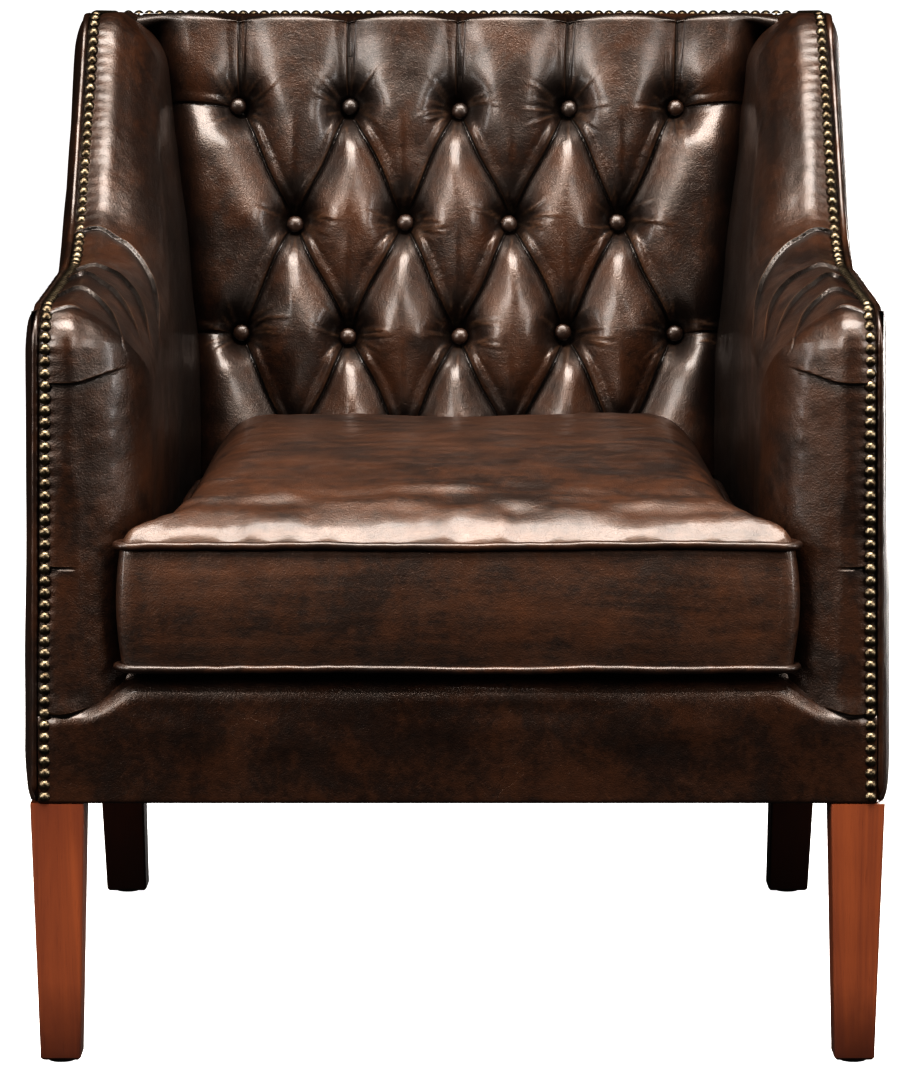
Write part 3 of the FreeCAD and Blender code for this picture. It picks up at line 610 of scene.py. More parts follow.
def aged_brass():
    """Nails with a rubbed, brassy top and dark tarnish in the grain."""
    f = Finish("aged nail brass")
    shades = colours()
    cloud = f.noise(190.0, 3.0, 0.6)
    spots = f.noise(1500.0, 3.0, 0.7)
    worn = f.node("ShaderNodeNewGeometry", {}).outputs["Pointiness"]
    dirt = f.math("ADD", f.math("MULTIPLY", cloud, 0.75), f.math("MULTIPLY", spots, 0.3))
    base = f.mix(f.spread(dirt, 0.38, 0.66), shades.brass_dark, shades.brass)
    base = f.mix(f.spread(worn, 0.44, 0.52, 0.8, 0.0), base, shades.brass_dark)
    rough = f.spread(spots, 0.3, 0.7, 0.26, 0.44)
    normal = f.bump(spots, 0.00012, 0.7)
    return f.set(Base_Color=base, Metallic=1.0, Roughness=rough, Normal=normal)


def steel(name, tone, warm=0.0):
    f = Finish(name)
    streak = f.noise(1.0, 4.0, 0.6, vector=f.stretched((120.0, 900.0, 900.0)))
    light = tuple(tone * (1 - warm * 0.25 * k) for k in range(3))
    base = f.mix(f.spread(streak, 0.35, 0.7), light, tuple(0.55 * c for c in light))
    rough = f.spread(streak, 0.3, 0.7, 0.28, 0.45)
    return f.set(Base_Color=base, Metallic=1.0, Roughness=rough, Normal=f.bump(streak, 0.0001))


def woven(name, light, dark, threads, depth, rough=0.85):
    """A plain weave: crossing threads with slubs."""
    f = Finish(name)
    scale = (math.pi * threads,) * 3
    axes = f.node("ShaderNodeSeparateXYZ", {0: f.stretched(scale)})
    waves = [f.math("SINE", axes.outputs[k]) for k in range(3)]
    weave = f.math("MULTIPLY", waves[0], f.math("ADD", waves[1], waves[2]))
    slub = f.noise(1.0, 4.0, 0.7, vector=f.stretched((40.0, 500.0, 500.0)))
    mixed = f.math("ADD", f.math("MULTIPLY", weave, 0.3), slub)
    base = f.mix(f.spread(mixed, 0.25, 0.85), dark, light)
    return f.set(Base_Color=base, Roughness=rough, Normal=f.bump(weave, depth, 0.8), Sheen_Weight=0.2)


def plain_foam():
    f = Finish("cut foam")
    pores = f.cells(520.0)
    base = f.mix(f.spread(pores, 0.1, 0.7), (0.55, 0.47, 0.30), (0.83, 0.76, 0.56))
    return f.set(Base_Color=base, Roughness=0.95, Normal=f.bump(pores, 0.0004))


def moulded(name, tone):
    f = Finish(name)
    speck = f.noise(900.0, 3.0, 0.6)
    base = f.mix(f.spread(speck, 0.35, 0.7), tone, tuple(min(1.0, 1.5 * c) for c in tone))
    rough = f.spread(speck, 0.3, 0.7, 0.4, 0.55)
    return f.set(Base_Color=base, Roughness=rough, Normal=f.bump(speck, 0.00008))


def floor_finish():
    f = Finish("pale floor")
    speck = f.noise(6.0, 4.0, 0.6)
    base = f.mix(f.spread(speck, 0.3, 0.7), colours().floor, tuple(0.985 * c for c in colours().floor))
    seen = f.set(Base_Color=base, Roughness=0.6, Emission_Color=(1.0, 1.0, 1.0, 1.0), Emission_Strength=0.72)
    ray = f.node("ShaderNodeLightPath", {}).outputs["Is Camera Ray"]
    dim = f.node("ShaderNodeBsdfDiffuse", {"Color": (0.02, 0.02, 0.02, 1.0)})
    both = f.node("ShaderNodeMixShader", {0: ray, 1: dim.outputs[0], 2: f.shader.outputs[0]})
    f.tree.links.new(both.outputs[0], f.tree.nodes["Material Output"].inputs["Surface"])
    return seen


def paint(piece, material):
    piece.data.materials.clear()
    piece.data.materials.append(material)


def dress(piece, material, body, nodes=()):
    """Gives a finished piece its material, its body and the frame nodes it stands for."""
    paint(piece, material)
    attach(piece, body)
    if nodes:
        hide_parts(*nodes)
    return piece


# ---------------------------------------------------------------- the arms and wings


def arm_inner(depth, z):
    """How far the inside of an arm or wing stands from the middle, before the side leans."""
    near_back = ramp(0.42, 0.50, depth)
    wing = WING_INSIDE + INSIDE_FLARE * np.maximum(z - 0.56, 0)
    arm = ARM_INSIDE + INSIDE_FLARE * np.maximum(z - 0.60, 0)
    return (1 - near_back) * arm + near_back * wing + math.tan(SIDE_LEAN) * (z - RAIL_BOTTOM)


def arm_field(points, line):
    """Signed distance to the arm's rounded surface, its direction, and the place along the outline."""
    q, depth, z = points.T
    distance, along, spot, way = nearest(points[:, 1:], line, True)
    off = points[:, 1:] - spot
    inside = way[:, 0] * off[:, 1] - way[:, 1] * off[:, 0] > 0
    step = np.linalg.norm(np.diff(line, axis=0, append=line[:1]), axis=1)
    run = np.concatenate([[0], np.cumsum(step)])
    turn = np.roll(line, -1, 0) - np.roll(line, 1, 0)
    turn = np.column_stack([turn[:, 1], -turn[:, 0]]) / np.linalg.norm(turn, axis=1)[:, None]
    turn = np.vstack([turn, turn[:1]])
    out = np.column_stack([np.interp(along, run, turn[:, k]) for k in range(2)])
    out /= np.linalg.norm(out, axis=1)[:, None]
    roundness = 0.052 + 0.030 * (1 - ramp(0.05, 0.2, depth))
    a = np.where(inside, -1.0, 1.0) * distance + roundness
    b = arm_inner(depth, z) - q + roundness
    flat = (a < 0) | (b < 0)
    h = np.maximum(np.hypot(np.maximum(a, 0), np.maximum(b, 0)), 1e-9)
    field = np.where(flat, np.maximum(a, b), h) - roundness
    wa = np.where(flat, a > b, np.maximum(a, 0) / h)
    wb = np.where(flat, a <= b, np.maximum(b, 0) / h)
    return field, np.stack([-wb, wa * out[:, 0], wa * out[:, 1]], 1), along


# Each pleat from the nailed edge inwards: distance off the middle, depth and height in millimetres,
# then how tall its lip is, how far it reaches before it fades and whether it is a sewn seam.
PLEATS = [
    ([(349, 311, 689), (334, 313, 690), (315, 307, 684), (302, 304, 676), (287, 290, 658), (276, 263, 639),
      (265, 179, 612), (262, 150, 575)], 1.0, 0.80, False),
    ([(349, 232, 659), (332, 246, 660), (313, 235, 659), (295, 201, 650), (280, 166, 634), (269, 116, 608),
      (263, 94, 582)], 1.0, 0.80, False),
    ([(348, 149, 653), (335, 182, 656), (316, 161, 653), (298, 137, 643), (284, 108, 625), (271, 72, 603)],
     1.0, 0.85, False),
    ([(344, 67, 647), (332, 102, 649), (315, 100, 644), (299, 73, 632), (286, 29, 615), (279, 32, 594)],
     0.9, 0.85, False),
    ([(344, 14, 637), (328, 23, 639), (316, 28, 637)], 0.45, 0.9, False),
    ([(347, -1, 579), (322, 2, 580), (302, 11, 586), (287, 23, 590), (277, 35, 592)], 0.8, 0.9, False),
    ([(347, 2, 426), (334, 2, 425), (318, 4, 425)], 0.5, 1.0, True),
    ([(347, 3, 301), (334, 3, 301), (305, 11, 307)], 0.4, 1.0, True),
]


def on_surface(points, line, rounds):
    for _ in range(rounds):
        field, out, _ = arm_field(points, line)
        points = points - out * field[:, None]
    return points


def press_pleats(points, out, pleats):
    """Slides points towards each pleat and gives how far the leather stands up round it."""
    n = len(points)
    signed, strength, wear = np.full(n, 0.02), np.zeros(n), np.zeros(n)
    rise, best = np.zeros(n), np.full(n, 9.0)
    lip = sizes().pleat_lip
    snap = 0.008
    for path, tall, reach, sewn in pleats:
        low, high = path.min(0), path.max(0)
        near = np.flatnonzero((np.abs(points - (low + high) / 2) < (high - low) / 2 + 0.05).all(1))
        gap, run, spot, way = nearest(points[near], path)
        total = np.linalg.norm(np.diff(path, axis=0), axis=1).sum()
        across = np.cross(out[near], way)
        sideways = np.einsum("ij,ij->i", points[near] - spot, across)
        over = np.where(-sideways < 0, -gap, gap)
        fade = 1 - ramp(reach * 0.55, 1.0, run / total)
        beyond = np.abs(np.linalg.norm(points[near] - spot, axis=1) - np.abs(sideways))
        fade = fade * bell(beyond, 0.006)
        swell = fade_out(over, 0.015) * round_step(over, 0.0018)
        upper, lower = lip * tall * swell, -0.0014 * tall * fade_out(-over, 0.006)
        if sewn:
            upper, lower = 0.0012 * swell, -0.0008 * fade_out(-over, 0.004)
        rise[near] += np.where(over > 0, upper, lower) * fade
        wear[near] = np.maximum(wear[near], bell(over - 0.0020, 0.0014) * fade * 0.16 * tall)
        closer = gap < best[near]
        best[near] = np.where(closer, gap, best[near])
        signed[near] = np.where(closer, over, signed[near])
        strength[near] = np.where(closer, fade * (gap < snap), strength[near])
        pull = np.where(np.abs(over) < snap, snap * (np.abs(over) / snap) ** 1.8 - np.abs(over), 0.0)
        points[near] += across * (-np.sign(over) * pull * fade * closer)[:, None]
        signed[near] += np.where(closer, np.sign(over) * pull * fade, 0)
    return rise, signed, strength, wear, best


def arm_cover(side, shell):
    """One inside arm, facing and wing as a single stretched and pleated cover."""
    lumps = Lumps(11 if side < 0 else 23)
    points, faces, out, along, pleats = shell
    points = points.copy()
    rise, signed, strength, wear, best = press_pleats(points, out, pleats)
    q, depth, z = points.T
    room = to_room(q, depth, z, side)
    front, at_rim = 1 - ramp(0.02, 0.06, depth), ramp(0.28, 0.31, q)

    # The rim swells inside the nails, is gathered at each one and dips to the piping.
    gather = 0.5 + 0.5 * np.cos(2 * math.pi * along / NAIL_PITCH)
    rise += at_rim * (0.0032 * bell(q - 0.328, 0.010) - 0.0014 * bell(np.abs(q - NAIL_LINE), 0.0045))
    rise -= at_rim * 0.0007 * gather * fade_out(NAIL_LINE - 0.0045 - q, 0.005)
    rise -= 0.0034 * ramp(0.3490, 0.3525, q)

    # Uneven stuffing: broad lumps, upright hollows low on the inside, and small dents.
    rise += 0.0016 * lumps(room, 0.085) + 0.0007 * lumps(room, (0.03, 0.05, 0.03))
    rise += 0.0011 * lumps(room, (0.022, 0.040, 0.16)) * ramp(0.62, 0.56, z) * (1 - at_rim)
    rise += 0.0008 * lumps(room, (0.02, 0.03, 0.11)) * front * at_rim
    rise += 0.00022 * lumps(room, 0.009)

    # Beside the cushion the cover stays low, so that the cushion lifts out freely.
    clear = ramp(0.0, 0.02, z - 0.30) * (1 - ramp(0.46, 0.52, z)) * (1 - ramp(0.45, 0.50, depth))
    rise = np.where(clear > 0.01, np.minimum(rise, 0.0030 * (1 - clear) + 0.0012), rise)
    moved = points + out * rise[:, None]
    moved[:, 1] = np.minimum(moved[:, 1], rear_depth(moved[:, 2]) - 0.0030)

    # Painted shade: under each pleat's fold, in the dip to the piping, and over the inside of the arm and
    # wing towards the back.
    painted_shade_and_stain = 0.6 * bell(best, 0.007) * strength * (signed < 0) + 0.6 * bell(q - 0.3515, 0.002)
    painted_shade_and_stain += (1 - ramp(0.262, 0.312, q)) * ramp(0.10, 0.44, depth) * 0.9
    name = "arm_and_wing_cover_" + ("right" if side > 0 else "left")
    facing = faces if side > 0 else faces[:, ::-1]
    return leather_mesh(name, to_room(*moved.T, side), facing, np.clip(painted_shade_and_stain, 0, 1), wear, signed, strength)


def arm_shell():
    """The smooth arm and wing surface that both covers start from."""
    line = evenly(rounded(COVER_OUTLINE, True, math.radians(2)), 0.008, True)
    prism, faces = voxel_solid("arm blank", line, 0.238, 0.362, sizes().arm_mesh)
    points = prism[:, [2, 0, 1]]
    points, faces = keep_faces(points, faces, points[faces].mean(1)[:, 0] < COVER_EDGE)
    rim = rim_points(faces, len(points))
    points[rim, 0] = COVER_EDGE
    for _ in range(3):
        points = relax(on_surface(points, line, 1), faces, rim, 4)
    points = on_surface(points, line, 2)
    _, out, along = arm_field(points, line)
    out /= np.linalg.norm(out, axis=1)[:, None]
    pleats = [
        (on_surface(smooth_line(np.array(path) / 1000), line, 3), tall, reach, sewn)
        for path, tall, reach, sewn in PLEATS
    ]
    a, b, c = (points[faces[:, k]] for k in range(3))
    if np.einsum("ij,ij->i", np.cross(b - a, c - b), out[faces[:, 0]]).sum() < 0:
        faces = faces[:, ::-1]
    return points, faces, out, along, pleats


# ---------------------------------------------------------------- the buttoned back


def back_depth(z):
    """Depth of the unpadded inside back at a height."""
    return BACK_FOOT[0] + BACK_SLOPE * (z - BACK_FOOT[1])


def button_places():
    """Middle of each button: distance across and height, row by row from the top."""
    places = []
    for count, z in zip(BUTTON_COUNTS, BUTTON_ROWS):
        places += [((k - (count - 1) / 2) * BUTTON_PITCH, z) for k in range(count)]
    return np.array(places)


def back_folds():
    """Straight folds between the buttons, as (x0, z0, x1, z1, kind)."""
    folds = []
    places = button_places()
    for x, z in places:
        for x1, z1 in places:
            if abs(abs(x - x1) - BUTTON_PITCH / 2) < 0.001 and 0.05 < z - z1 < 0.15:
                folds.append((x, z, x1, z1, DIAGONAL))
        if z == BUTTON_ROWS[0]:
            folds.append((x, z, x * 1.012, TOP + 0.045, UPRIGHT))
            folds.append((x + 0.003, z + 0.010, x * 1.012 + 0.0085, TOP + 0.030, SECOND))
        if z == BUTTON_ROWS[3]:
            folds.append((x, z, x, z - 0.05, UPRIGHT))
        if abs(x) > 0.2:
            folds.append((x, z, x * 1.32, z + 0.004, SIDEWAYS))
    return np.array(folds)


def wrinkles(X, H, places, reach):
    """Fine radiating wrinkles round the buttons, and how far each one is rubbed."""
    rng = np.random.default_rng(5)
    fine, wear = np.zeros(len(X)), np.zeros(len(X))
    for i, (bx, bz) in enumerate(places):
        local = np.flatnonzero(reach[:, i] < 0.075)
        px, pz = X[local] - bx, H[local] - bz
        for _ in range(15):
            angle = rng.uniform(-math.pi, math.pi)
            near_end, far_end = rng.uniform(0.010, 0.015), rng.uniform(0.024, 0.052)
            bend = rng.uniform(-9, 9)
            size = rng.uniform(0.0006, 0.0017)
            t = px * math.cos(angle) + pz * math.sin(angle)
            o = pz * math.cos(angle) - px * math.sin(angle) + bend * (t - near_end) ** 2 * (t > near_end)
            here = ramp(near_end - 0.004, near_end + 0.004, t) * (1 - ramp(near_end + 0.006, far_end, t))
            fine[local] += size * here * (bell(o - 0.0022, 0.0017) - 0.9 * bell(o, 0.0014))
            wear[local] = np.maximum(wear[local], here * bell(o - 0.0022, 0.0012) * 0.18)
        if bz not in BUTTON_ROWS[1:3]:
            continue
        for k in range(3):
            lift = rng.uniform(-0.012, 0.010)
            start, end = rng.uniform(0.012, 0.020), rng.uniform(0.036, 0.056)
            slant = rng.uniform(-0.25, 0.12)
            o = pz - lift - slant * (px - start) + 0.0012 * np.sin(px * 160 + k)
            here = ramp(start - 0.004, start + 0.006, px) * (1 - ramp(0.6 * end, end, px))
            fine[local] += 0.0009 * here * (bell(o - 0.0022, 0.0018) - 0.9 * bell(o, 0.0013))
            wear[local] = np.maximum(wear[local], here * bell(o - 0.0024, 0.0012) * 0.25)
    return fine, wear


def buttoned_back():
    """The inside back: pillows of leather between folds that run from button to button."""
    s = sizes()
    step = s.back_mesh
    path = rounded(
        [
            (BACK_FOOT[0], BACK_FOOT[1], 0.0),
            (back_depth(TOP), TOP, BACK_TOP_ROUND),
            (0.6755, TOP, 0.004),
            (0.6758, TOP - 0.010, 0.0),
        ],
        False,
    )
    path = evenly(path, step, False)
    way = np.gradient(path, axis=0)
    way /= np.linalg.norm(way, axis=1)[:, None]
    slope = math.hypot(1, BACK_SLOPE)
    run = np.concatenate([[0], np.cumsum(np.linalg.norm(np.diff(path, axis=0), axis=1))])
    height = BACK_FOOT[1] + run / slope  # height of the same point if the back went straight up
    columns = int(round(2 * BACK_HALF / step)) + 1
    x = np.linspace(-BACK_HALF, BACK_HALF, columns)
    X, H = np.meshgrid(x, height)
    X, H = X.ravel(), H.ravel()
    flat = np.column_stack([X, H])
    folds = back_folds()
    n = len(flat)
    sink, signed = np.zeros(n), np.full(n, FAR)
    best, strength, kinds = np.full(n, 9.0), np.zeros(n), np.zeros(n)
    shift = np.zeros((n, 2))
    for x0, z0, x1, z1, kind in folds:
        a, d = np.array([x0, z0]), np.array([x1 - x0, z1 - z0])
        span = np.linalg.norm(d)
        u = d / span
        t = (flat - a) @ u
        off = (flat - a) @ np.array([-u[1], u[0]])
        if kind == DIAGONAL:
            off += 0.0022 * np.sin(t * 40 + x0 * 37) * bell(t - span / 2, span / 2.2)
        beyond = np.maximum(np.maximum(-t, t - span), 0)
        gap = np.hypot(off, beyond)
        width, tall = FOLD_WIDTH[int(kind)], FOLD_DEPTH[int(kind)]
        facing = 1.0 if kind == UPRIGHT else np.sign(u[0])
        if kind == UPRIGHT:
            tall = tall * (1 - 0.75 * ramp(0.03, span, t))
        if kind == SIDEWAYS:
            tall = tall * (1 - 0.4 * ramp(0.01, span, t))
        sink += (tall * np.clip(1 - gap / width, 0, 1) ** 1.9) ** 3
        closer = gap < best
        over = np.where(off * facing > 0, gap, -gap)
        signed = np.where(closer, over, signed)
        strength = np.where(closer, bell(beyond, 0.003) * (gap < 0.010) * tall, strength)
        kinds = np.where(closer, kind, kinds)
        best = np.minimum(best, gap)
        snap = closer & (gap < 0.007) & (beyond == 0)
        pull = 0.007 * (gap / 0.007) ** 1.6 - gap
        shift[snap] = (np.sign(off) * pull)[snap, None] * np.array([-u[1], u[0]])
        signed = np.where(snap, signed + np.sign(signed) * pull, signed)
    sink = s.crease_depth * sink ** (1 / 3)
    flat = flat + shift
    X, H = flat.T
    places = button_places()
    reach = np.hypot(X[:, None] - places[:, 0], (H[:, None] - places[:, 1]) * 0.88)
    away = reach.min(1)
    socket = (s.tuft_depth - s.crease_depth) * np.clip(1 - (away - 0.006) / 0.038, 0, 1) ** 3.0
    socket = np.where(away < 0.0065, s.tuft_depth - s.crease_depth, socket)
    fine, fine_wear = wrinkles(X, H, places, reach)
    lip = 0.0030 * fade_out(signed, 0.011) * round_step(signed, 0.003)
    lip = np.where(signed > 0, lip, -0.0012 * np.exp(-np.abs(signed) / 0.004))
    lip *= np.where(kinds == UPRIGHT, 0.6, 1.0) * strength
    strip = bell(signed - 0.0062, 0.0016) - bell(signed - 0.0088, 0.0013)
    strip = 0.0016 * strip * bell(away - 0.030, 0.018) * strength
    height_now = -(sink + socket) + lip * ramp(0.010, 0.018, away) + strip + fine * ramp(0.009, 0.013, away)
    spots = np.column_stack([X, np.zeros(n), H])
    lumps = Lumps(7)
    height_now += 0.0012 * lumps(spots, 0.06) + 0.0004 * lumps(spots, 0.02)
    wing = WING_INSIDE + INSIDE_FLARE * np.maximum(H - 0.56, 0)
    dive = np.clip((np.abs(X) - (wing - 0.030)) / 0.034, 0, 2.0)
    top_row = ramp(TOP - 0.02, TOP + 0.01, H)
    height_now -= 0.024 * dive**2.2 * (1 - 0.94 * top_row)
    rear = ramp(TOP + 0.050, TOP + 0.085, H)
    height_now *= 1 - 0.85 * rear
    normal = np.column_stack([-way[:, 1], way[:, 0]])
    origin = np.array([np.interp(H, height, path[:, k]) for k in range(2)]).T
    out = np.array([np.interp(H, height, normal[:, k]) for k in range(2)]).T
    out /= np.linalg.norm(out, axis=1)[:, None]
    at = origin + out * height_now[:, None]
    points = np.column_stack([X, at[:, 0] - MIDDLE_DEPTH, at[:, 1]])
    patchy = 0.25 + 0.75 * ramp(-0.2, 0.5, lumps(spots, 0.035))
    wear = bell(signed - 0.0022, 0.0011) * strength * 0.25 * patchy * ramp(0.012, 0.022, away)
    wear = np.clip(np.maximum(wear, fine_wear), 0, 1)
    # Painted shade round each button, most of it above, in the fine wrinkles' valleys, under the folds and
    # where the back dives beside the wings; the leather is also made darker along the top edge.
    above = np.hypot(X[:, None] - places[:, 0], (H[:, None] - places[:, 1] - 0.011) * 0.72).min(1)
    painted_shade_and_stain = 1.2 * (1 - ramp(0.010, 0.036, above)) + 0.5 * np.clip(-fine / 0.0010, 0, 1)
    painted_shade_and_stain = np.clip(painted_shade_and_stain + 0.6 * bell(signed, 0.006) * (signed < 0) * strength, 0, 1)
    painted_shade_and_stain = np.clip(painted_shade_and_stain + 0.9 * np.clip(dive - 0.15, 0, 1) * (1 - top_row), 0, 1)
    painted_shade_and_stain = np.clip(painted_shade_and_stain + 0.9 * bell(H - TOP - 0.004, 0.012), 0, 1)
    mask = strength * ramp(0.009, 0.013, away)
    faces = grid_faces(len(path), columns)
    return leather_mesh("buttoned_back_cover", points, faces, painted_shade_and_stain, wear, signed, mask)


def covered_buttons():
    """One leather-covered button, copied to every place on the back and joined."""
    s = sizes()
    bpy.ops.object.select_all(action="DESELECT")
    bpy.ops.mesh.primitive_uv_sphere_add(segments=28, ring_count=16, radius=s.button_radius)
    first = bpy.context.active_object
    bpy.ops.object.mode_set(mode="EDIT")
    bpy.ops.mesh.select_all(action="SELECT")
    bpy.ops.transform.resize(value=(1.0, 1.0, 0.62))
    bpy.ops.mesh.bisect(plane_co=(0, 0, -0.0028), plane_no=(0, 0, 1), clear_inner=True, use_fill=True)
    bpy.ops.object.mode_set(mode="OBJECT")
    lumps = Lumps(3)
    co = mesh_points(first)
    angle = np.arctan2(co[:, 1], co[:, 0])
    radius = np.hypot(co[:, 0], co[:, 1])
    crimp = 0.00028 * np.cos(angle * 17) * ramp(0.6, 1.0, radius / s.button_radius)
    co *= (1 + crimp / s.button_radius)[:, None]
    co += 0.00018 * lumps(co + 0.5, 0.004)[:, None]
    faces = [tuple(p.vertices) for p in first.data.polygons]
    bpy.data.objects.remove(first)
    points, all_faces = [], []
    tilt = math.atan(BACK_SLOPE)
    rng = np.random.default_rng(12)
    for x, z in button_places():
        spin = rng.uniform(0, math.tau)
        lean_x, lean_z = rng.uniform(-0.10, 0.10, 2)
        c, si = math.cos(spin), math.sin(spin)
        turned = co @ np.array([[c, si, 0], [-si, c, 0], [0, 0, 1]])
        out = np.array([lean_x, -math.cos(tilt), math.sin(tilt) + lean_z])
        out /= np.linalg.norm(out)
        across = np.cross((0, 0, 1.0), out)
        across /= np.linalg.norm(across)
        up = np.cross(out, across)
        seat = np.array([x, back_depth(z) - MIDDLE_DEPTH, z])
        seat = seat - out * (s.tuft_depth - 0.0070)
        base = sum(len(p) for p in points)
        points.append(seat + turned[:, :1] * across + turned[:, 1:2] * up + turned[:, 2:] * out)
        all_faces += [tuple(base + k for k in f) for f in faces]
    mesh = bpy.data.meshes.new("covered_buttons")
    mesh.from_pydata(np.vstack(points).tolist(), [], all_faces)
    mesh.polygons.foreach_set("use_smooth", np.ones(len(mesh.polygons), bool))
    piece = bpy.data.objects.new("covered_buttons", mesh)
    bpy.context.scene.collection.objects.link(piece)
    return piece


# ---------------------------------------------------------------- front border and outside covers


def front_border():
    """Leather over the front rail, rolled over the padded front edge and on over the deck's edge."""
    foot, top_edge, half = 0.2252, 0.3312, 0.3515
    corners = [
        (0.026, 0.2264, 0.0),
        (0.0030, foot, 0.0025),
        (0.0022, 0.331, 0.021),
        (0.0285, top_edge, 0.0015),
        (0.0285, 0.3351, 0.001),
        (0.047, 0.3351, 0.0),
    ]
    path = evenly(rounded(corners, False), 0.0018, False)
    x = np.linspace(-half, half, 282)
    X = np.tile(x, len(path))
    depth, z = np.repeat(path[:, 0], len(x)), np.repeat(path[:, 1], len(x))
    top = 0.3325 - 0.025 * ramp(0.262, 0.318, np.abs(X))
    z = foot + (z - foot) * (top - foot) / (top_edge - foot)
    up = ramp(0.236, 0.31, z)
    lumps = Lumps(41)
    spots = np.column_stack([X, depth, z])
    front = (depth < 0.012) * 1.0
    swell = 0.0022 * bell(z - 0.292, 0.030) + 0.0012 * lumps(spots, (0.10, 0.05, 0.05)) * up
    swell += 0.0006 * lumps(spots, (0.05, 0.02, 0.016)) * up
    swell *= 1 - ramp(0.335, 0.345, np.abs(X))
    depth = depth - swell * front
    z = z + 0.0010 * lumps(spots, (0.05, 0.05, 1.0)) * (1 - front) * (1 - ramp(0.018, 0.026, depth))
    points = np.column_stack([X, depth - MIDDLE_DEPTH, z])
    faces = grid_faces(len(path), len(x))[:, ::-1]
    # Painted shade darkens the top of the border, under the cushion's edge.
    return leather_mesh("front_border_cover", points, faces, 0.35 * ramp(0.318, 0.330, z), crease=z - 0.2300)


def sheet_grid(rows, columns, left):
    """Places over a sheet, from left to 1 across and from 0 to 1 up."""
    u, v = np.meshgrid(np.linspace(left, 1, columns), np.linspace(0, 1, rows))
    return u.ravel(), v.ravel()


def outside_arm(side):
    """The outside arm and wing panel, drawn tight with a little padding behind it."""
    corners = [(0.0035, 0.6395, 0.0), (0.298, 0.6612, 0.116), (0.452, 0.8812, 0.033), (0.681, 0.8812, 0.0)]
    edge = rounded(corners, False)
    front_foot = 0.0060
    rows, columns = 190, 200
    u, v = sheet_grid(rows, columns, 0)
    depth = front_foot + (REAR_FOOT - front_foot) * u
    for _ in range(3):
        z = COVER_FOOT + (np.interp(depth, edge[:, 0], edge[:, 1]) - COVER_FOOT) * v
        front = front_foot - 0.0040 * (z - COVER_FOOT) / 0.42
        depth = front + (rear_depth(z) - front) * u
    line = np.vstack([edge, [(REAR_FOOT, COVER_FOOT), (front_foot, COVER_FOOT)]])
    gap = nearest(np.column_stack([depth, z]), line, True)[0]
    lumps = Lumps(61 if side > 0 else 62)
    spots = np.column_stack([np.full(len(u), 0.3 * side), depth, z])
    q = PANEL + 0.0034 * (1 - fade_out(gap, 0.006)) + 0.0120 * (1 - fade_out(gap, 0.045))
    q += (0.0012 * lumps(spots, 0.11) + 0.0004 * lumps(spots, (0.1, 0.02, 0.06))) * ramp(0.0, 0.03, gap)
    q -= 0.0025 * (gap < 0.0004)
    faces = grid_faces(rows, columns)
    name = "outside_arm_cover_" + ("right" if side > 0 else "left")
    facing = faces if side > 0 else faces[:, ::-1]
    # Painted shade along the edges, where the panel dips under the piping.
    return leather_mesh(name, to_room(q, depth, z, side), facing, 0.5 * bell(gap, 0.004), crease=gap)


def outside_back():
    """The outside back panel, drawn flat from rail to top edge."""
    top_edge = 0.8768
    rows, columns = 220, 236
    u, v = sheet_grid(rows, columns, -1)
    z = COVER_FOOT + v * (top_edge - COVER_FOOT)
    half = 0.3524 - (z - COVER_FOOT) * math.tan(SIDE_LEAN)
    x = u * half
    edge = np.minimum(np.minimum(half - np.abs(x), z - COVER_FOOT), top_edge - z)
    lumps = Lumps(71)
    spots = np.column_stack([x, np.zeros(len(x)), z])
    depth = rear_depth(z) + 0.0018 * (1 - fade_out(edge, 0.005)) + 0.0016 * (1 - fade_out(edge, 0.08))
    depth += (0.0011 * lumps(spots, 0.12) + 0.0003 * lumps(spots, 0.03)) * ramp(0, 0.03, edge)
    depth -= 0.002 * (edge < 0.0002)
    points = np.column_stack([x, depth - MIDDLE_DEPTH, z])
    # Painted shade along the edges and along the row of nails.
    nail_row = np.abs(x) - (0.344 - 0.0152 * (z - 0.233))
    painted_shade_and_stain = 0.45 * bell(edge, 0.004) + 0.35 * bell(nail_row, 0.004)
    return leather_mesh("outside_back_cover", points, grid_faces(rows, columns)[:, ::-1], painted_shade_and_stain, crease=edge)


def side_piping(side):
    line = evenly(rounded(EDGE_LINE, False), PIPING_STEP, False)
    way = np.gradient(line, axis=0)
    way /= np.linalg.norm(way, axis=1)[:, None]
    inset = np.column_stack([way[:, 1], -way[:, 0]])
    r = sizes().edge_piping
    line = line + inset * (r - 0.0002)
    line = line[2:-3]
    points = to_room(np.full(len(line), 0.3556), line[:, 0], line[:, 1], side)
    name = "side_piping_welt_" + ("right" if side > 0 else "left")
    return tube(name, points, r, False, lumps=Lumps(80 + side))


def back_piping():
    foot, z_top, half_low, half_top = 0.2285, 0.8796, 0.3558, 0.3458
    right = [(half_top, z_top, 0.006), (half_low, foot, 0.0)]
    corners = [(-x, z, radius) for x, z, radius in reversed(right)] + right
    x, z = evenly(rounded(corners, False), PIPING_STEP, False).T
    depth = 0.655 + 0.029 * (z - 0.225) / 0.659 - 0.0032
    points = np.column_stack([x, depth - MIDDLE_DEPTH, z])
    return tube("back_piping_welt", points, sizes().edge_piping, False, lumps=Lumps(90))


# ---------------------------------------------------------------- the seat cushion


def cushion_outline():
    right = CUSHION_HALF_OUTLINE
    left = [(-x, depth, radius) for x, depth, radius in reversed(right)]
    return rounded(right + left, True)


